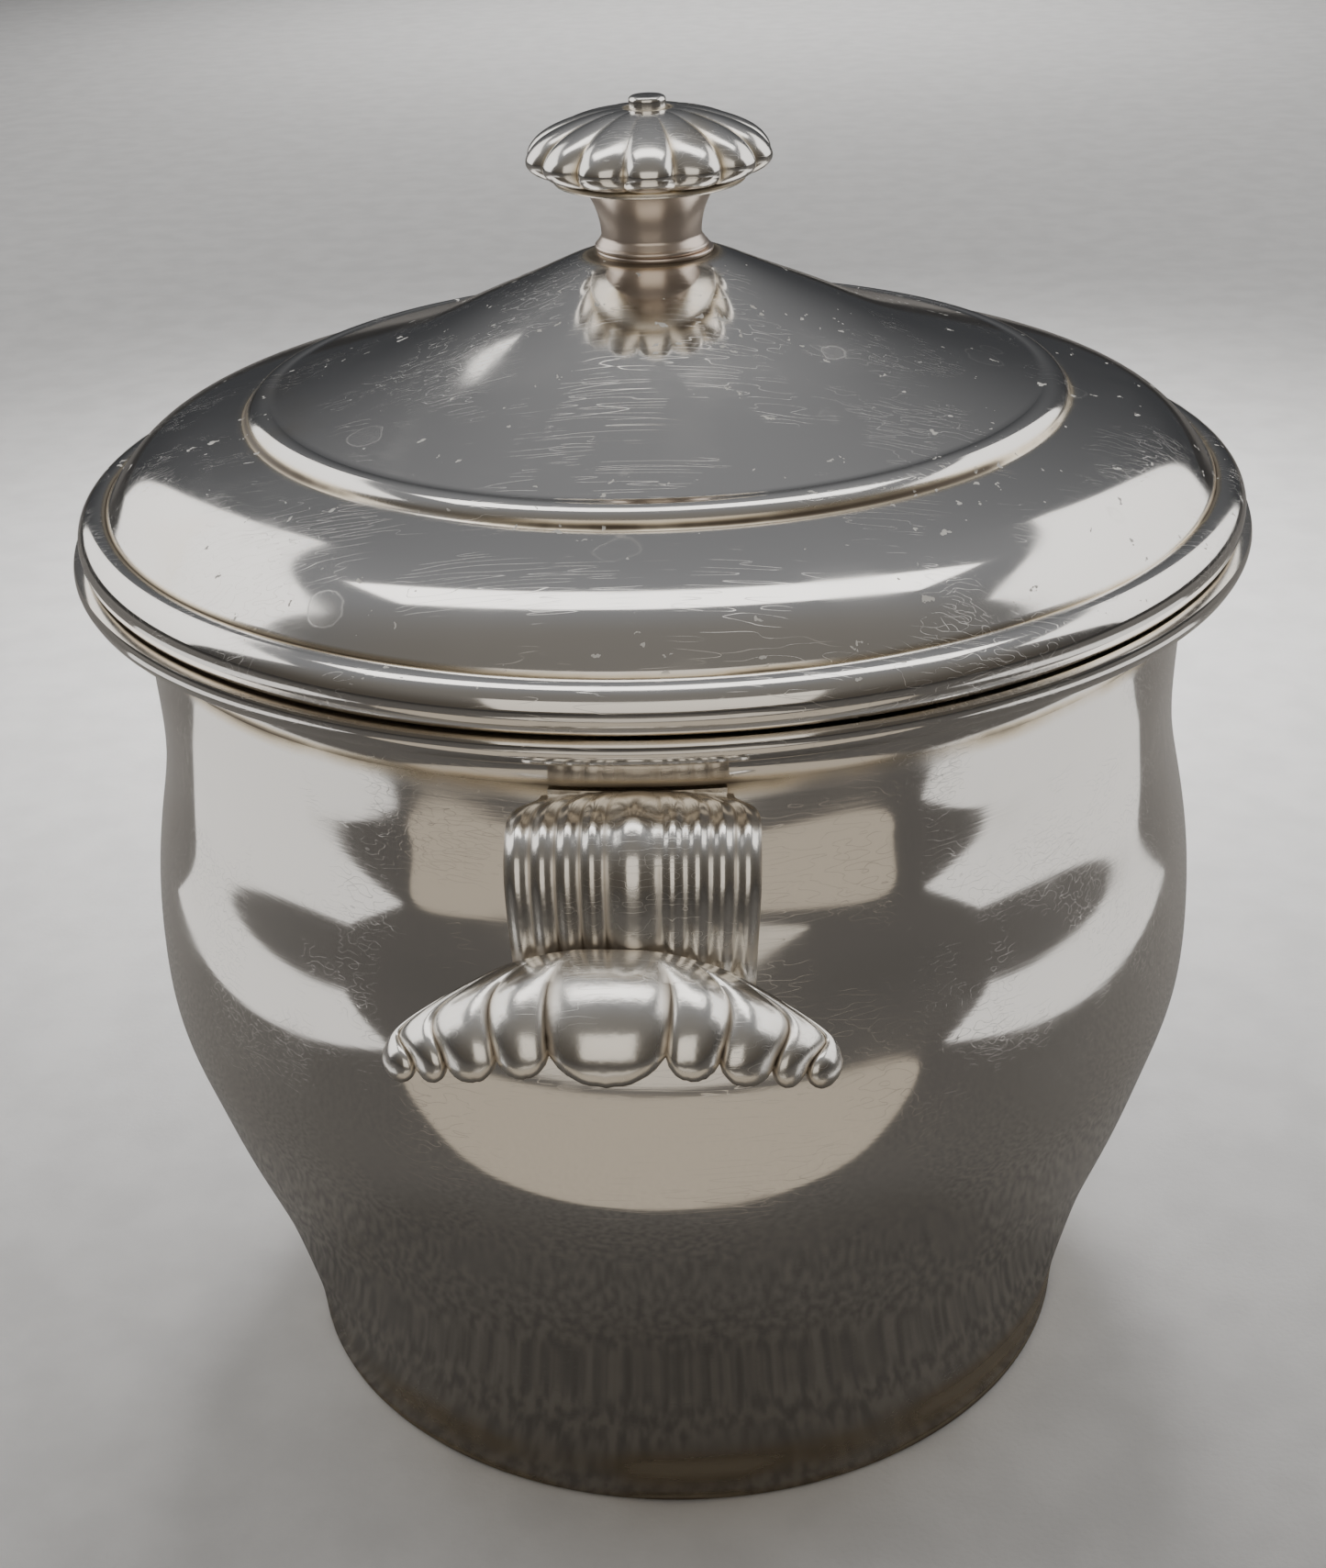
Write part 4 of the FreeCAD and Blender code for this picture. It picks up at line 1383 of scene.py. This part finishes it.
@dataclass
class Knob:
    """The melon-shaped knob on its stem, with the washers and the stud that hold it."""

    nodes: dict[str, bpy.types.Object]
    lobes: int = 14
    lobe_turn: float = 3.0
    crease_start: float = 4.0
    crease_gain: float = 1.12
    levels: tuple[tuple[float, float, float], ...] = (
        (203.9, 15.2, 0.7), (204.8, 17.8, 1.3), (206.3, 19.1, 1.7), (208.6, 18.2, 1.7),
        (210.8, 15.2, 1.4), (212.5, 10.6, 1.0), (213.5, 5.6, 0.5))
    stem_seat: float = 192.5
    stem_foot: float = 8.6
    stem_top: float = 10.9
    flange_bottom: float = 202.7
    flange_radius: float = 14.9
    button_radius: float = 2.85
    top: float = 215.4
    washer_shift: float = 0.5

    def crease_depth(self, point: Point) -> float:
        """How deep the creases are at a point of the knob's outline.

        Args:
            point: the point.

        Returns:
            The depth in millimetres.
        """
        radius, height = point
        heights, _, depths = zip(*self.levels)
        if radius < self.crease_start or height < heights[0] - 0.01:
            return 0.0
        return self.crease_gain * float(np.interp(height, heights, depths))

    def cap(self) -> bpy.types.Object:
        """The lobed cap, whose creases run up to the ring under its button.

        Returns:
            The finished piece.
        """
        corners = [(radius, height) for height, radius, _ in self.levels]
        foot = self.levels[0][0]
        outline = Outline((STUD_BORE, foot)).line((14.4, foot), 1.0).line(corners[0], 0.3)
        outline.curve(*corners[1:], (3.9, 213.62), step=0.35).arc((3.5, 213.5), (3.1, 213.65), 0.12)
        outline.line((STUD_BORE, 213.65)).line((STUD_BORE, foot), 2.0)
        wear = Wear((3.3, 213.6, 0.6), (15.0, 203.8, 1.0))
        turn = math.radians(self.lobe_turn - 90.0)
        return TurnedPiece("knob_cap", outline, Finish.KNOB, "lid", wear, segments=28 * self.lobes,
                           lobes=self.lobes, lobe_turn=turn, crease=self.crease_depth).make()

    def fittings(self) -> None:
        """The button, the flange under the cap, the waisted stem and the washer."""
        foot, top, low, wide = self.stem_foot, self.stem_top, self.flange_bottom, self.flange_radius
        side, end, seat = self.button_radius, self.top, self.stem_seat
        button = Outline((0.0, 213.5)).line((side, 213.5)).line((side, end - 0.7), 0.3)
        button.arc((side - 0.2, end - 0.2), (side - 0.7, end), 0.15).line((0.0, end), 0.5)
        TurnedPiece("knob_button", button, Finish.KNOB, "lid", Wear((3.2, 213.5, 0.2)), segments=96).make()
        brim = low + 1.2
        flange = Outline((STUD_BORE, low)).line((wide - 0.5, low)).arc((wide, low + 0.6), (wide - 0.5, brim), 0.12)
        flange.line((STUD_BORE, brim)).line((STUD_BORE, low))
        TurnedPiece("knob_flange", flange, Finish.KNOB, "lid", Wear((15.0, brim, 0.8))).make()
        stem = Outline((STUD_BORE, seat)).line((foot, seat)).arc((foot + 0.3, seat + 0.4), (foot, seat + 0.9), 0.1)
        stem.line((foot - 0.8, seat + 2.1), 0.3).arc((foot - 0.1, seat + 6.1), (top, low), 0.3)
        stem.line((STUD_BORE, low)).line((STUD_BORE, seat))
        wear = Wear((top + 0.3, low, 0.9), (foot, seat + 0.1, 0.8))
        TurnedPiece("knob_stem", stem, Finish.WORN, "lid", wear).make()
        washer = Outline((3.2, 191.9)).line((9.0, 191.9)).arc((9.1, 192.2), (9.0, seat), 0.1)
        washer.line((3.2, seat)).line((3.2, 191.9))
        TurnedPiece("knob_washer", washer, Finish.WORN, "lid", Wear((9.2, 191.9, 0.4)), shift=self.washer_shift).make()

    def build(self) -> None:
        """Makes the knob's visible parts and dresses the stud, washer and nut inside the lid."""
        self.cap()
        self.fittings()
        dress(self.nodes, Finish.STEEL, "knob_stud", "knob_spring_washer", "knob_nut")


# ---------------------------------------------------------------- studio
@dataclass(frozen=True)
class SoftBox:
    """A studio lamp that faces a point: the silver mirrors it, but no camera sees it."""

    name: str
    place: tuple[float, float, float]
    target: tuple[float, float, float]
    size: tuple[float, float]
    power: float
    colour: Colour = (1.0, 0.98, 0.95)
    mirrored: bool = True
    spread: float = 180.0
    shape: str = "RECTANGLE"

    def hang(self) -> None:
        """Puts the lamp in the scene."""
        lamp = bpy.data.lights.new(self.name, "AREA")
        lamp.shape = self.shape
        lamp.size, lamp.size_y = self.size
        lamp.energy = self.power
        lamp.spread = math.radians(self.spread)
        lamp.color = self.colour
        holder = bpy.data.objects.new(self.name, lamp)
        holder.visible_glossy = self.mirrored
        holder.visible_camera = False
        bpy.context.scene.collection.objects.link(holder)
        aim = Vector(self.target) - Vector(self.place)
        holder.matrix_world = Matrix.Translation(self.place) @ aim.to_track_quat("-Z", "Y").to_matrix().to_4x4()


@dataclass
class Studio:
    """The pale floor, the soft lamps and the camera.

    The floor is painted darker where the silver mirrors it: a painted reflection that stands in for black studio
    flags.
    """

    floor_size: float = 60.0
    camera_place: tuple[float, float, float] = (0.0184, -0.3515, 0.2745)
    camera_turn: tuple[float, float, float] = (63.47, 1.84, 2.29)
    lens: float = 51.82
    # painted reflection: the darker floor colours that only the silver's mirror shows
    painted_floor_reflection: tuple[Colour, Colour] = ((0.100, 0.096, 0.094), (0.170, 0.162, 0.152))
    pale_floor: tuple[Colour, Colour] = ((0.58, 0.58, 0.585), (0.64, 0.64, 0.645))
    backdrop: Colour = (0.30, 0.30, 0.30)
    walls: tuple[Colour, Colour] = ((0.075, 0.066, 0.055), (0.05, 0.052, 0.056))
    ceiling: tuple[Colour, Colour] = ((0.19, 0.18, 0.165), (0.24, 0.245, 0.255))
    lamps: tuple[SoftBox, ...] = (
        SoftBox("card_left", (-0.95, 0.45, 0.60), (0.0, 0.0, 0.12), (1.15, 0.95), 4.9),
        SoftBox("card_right", (0.95, 0.45, 0.60), (0.0, 0.0, 0.12), (1.15, 0.95), 4.9),
        SoftBox("overhead", (0.0, 0.22, 1.35), (0.0, 0.0, 0.12), (1.5, 0.42), 4.6),
        SoftBox("room_front", (0.0, -1.3, 0.75), (0.0, 0.0, 0.14), (1.5, 1.0), 3.6, (1.0, 0.93, 0.82)),
        SoftBox("key", (0.0, 0.85, 1.10), (0.0, 0.34, 0.0), (0.4, 0.3), 1.7, (1.0, 0.98, 0.95), False, 30.0),
        SoftBox("pool_back", (0.0, 2.0, 1.2), (0.0, 1.6, 0.0), (0.9, 0.6), 4.5, (1.0, 0.98, 0.95), False, 66.0),
        SoftBox("low_left", (-0.335, -0.05, 0.002), (-0.335, -0.05, 1.0), (0.16, 0.34), 0.14),
        SoftBox("low_right", (0.335, -0.04, 0.002), (0.335, -0.04, 1.0), (0.16, 0.34), 0.14),
        SoftBox("low_far", (0.0, -0.47, 0.002), (0.0, -0.47, 1.0), (0.36, 0.26), 0.15, (1.0, 0.91, 0.77)),
        SoftBox("low_front", (-0.01, -0.235, 0.002), (-0.01, -0.235, 1.0), (0.46, 0.16), 0.065, (1.0, 0.86, 0.66),
                shape="ELLIPSE"),
    )

    def floor(self) -> None:
        """A wide pale sheet under the bucket with a faint mottle, and a darker mottled painted reflection where the
        silver mirrors it.
        """
        half = self.floor_size / 2
        mesh = bpy.data.meshes.new("floor")
        mesh.from_pydata([(-half, -half, 0.0), (half, -half, 0.0), (half, half, 0.0), (-half, half, 0.0)], [],
                         [(0, 1, 2, 3)])
        sheet = bpy.data.objects.new("floor", mesh)
        bpy.context.scene.collection.objects.link(sheet)
        material, graph, shader = new_material("pale_floor")
        mottle = graph.noise(graph.place(), 60.0, 5.0)
        pale = graph.mix(graph.ramp(mottle, 0.3, 0.7), *self.pale_floor)
        # painted reflection: a darker mottled floor colour that only glossy rays see, standing in for black studio
        # flags
        reflection_mottle = graph.ramp(graph.noise(graph.place(), 420.0, 2.0), 0.35, 0.65)
        dark = graph.mix(reflection_mottle, *self.painted_floor_reflection)
        is_glossy_ray = graph.add("ShaderNodeLightPath").outputs["Is Glossy Ray"]
        graph.feed(shader.inputs["Base Color"], graph.mix(is_glossy_ray, pale, dark))
        shader.inputs["Roughness"].default_value = 0.85
        graph.feed(shader.inputs["Normal"], bump(graph, graph.noise(graph.place(), 900.0, 3.0), 0.0001))
        mesh.materials.append(material)

    def surroundings(self) -> None:
        """A dim room for the silver to mirror, warmer in front, with a plain pale backdrop to look at."""
        world = bpy.data.worlds.new("room")
        world.use_nodes = True
        graph = Graph(world.node_tree)
        back = world.node_tree.nodes["Background"]
        _, ahead, above = graph.parts(graph.add("ShaderNodeTexCoord").outputs["Generated"])
        side = graph.ramp(ahead, -0.45, 0.15)
        upwards = graph.ramp(above, 0.05, 0.95)
        walls = graph.mix(graph.ramp(ahead, -0.5, 0.3), *self.walls)
        ceiling = graph.mix(side, *self.ceiling)
        seen = graph.add("ShaderNodeLightPath").outputs["Is Camera Ray"]
        graph.feed(back.inputs["Color"], graph.mix(seen, graph.mix(upwards, walls, ceiling), self.backdrop))
        bpy.context.scene.world = world

    def camera(self) -> None:
        """The camera, at the height and distance of somebody who stands over the bucket."""
        lens = bpy.data.cameras.new("camera")
        lens.lens = self.lens
        lens.sensor_fit = "VERTICAL"
        lens.sensor_height = 36.0
        lens.clip_start = 0.01
        holder = bpy.data.objects.new("camera", lens)
        holder.location = self.camera_place
        holder.rotation_euler = [math.radians(angle) for angle in self.camera_turn]
        bpy.context.scene.collection.objects.link(holder)
        bpy.context.scene.camera = holder

    def build(self) -> None:
        """Sets up the whole studio."""
        self.camera()
        self.floor()
        self.surroundings()
        for lamp in self.lamps:
            lamp.hang()


def main() -> None:
    """Builds every sub-assembly in order, then the studio."""
    logging.basicConfig(level=logging.INFO, format="%(name)s %(message)s")
    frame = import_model()
    nodes = frame["nodes"]
    BucketWall(nodes).build()
    Flask(nodes).build()
    Handle(nodes, "front", 0.0).build()
    Handle(nodes, "back", math.pi).build()
    Lid(nodes).build()
    Knob(nodes).build()
    Studio().build()


if __name__ == "__main__":
    main()
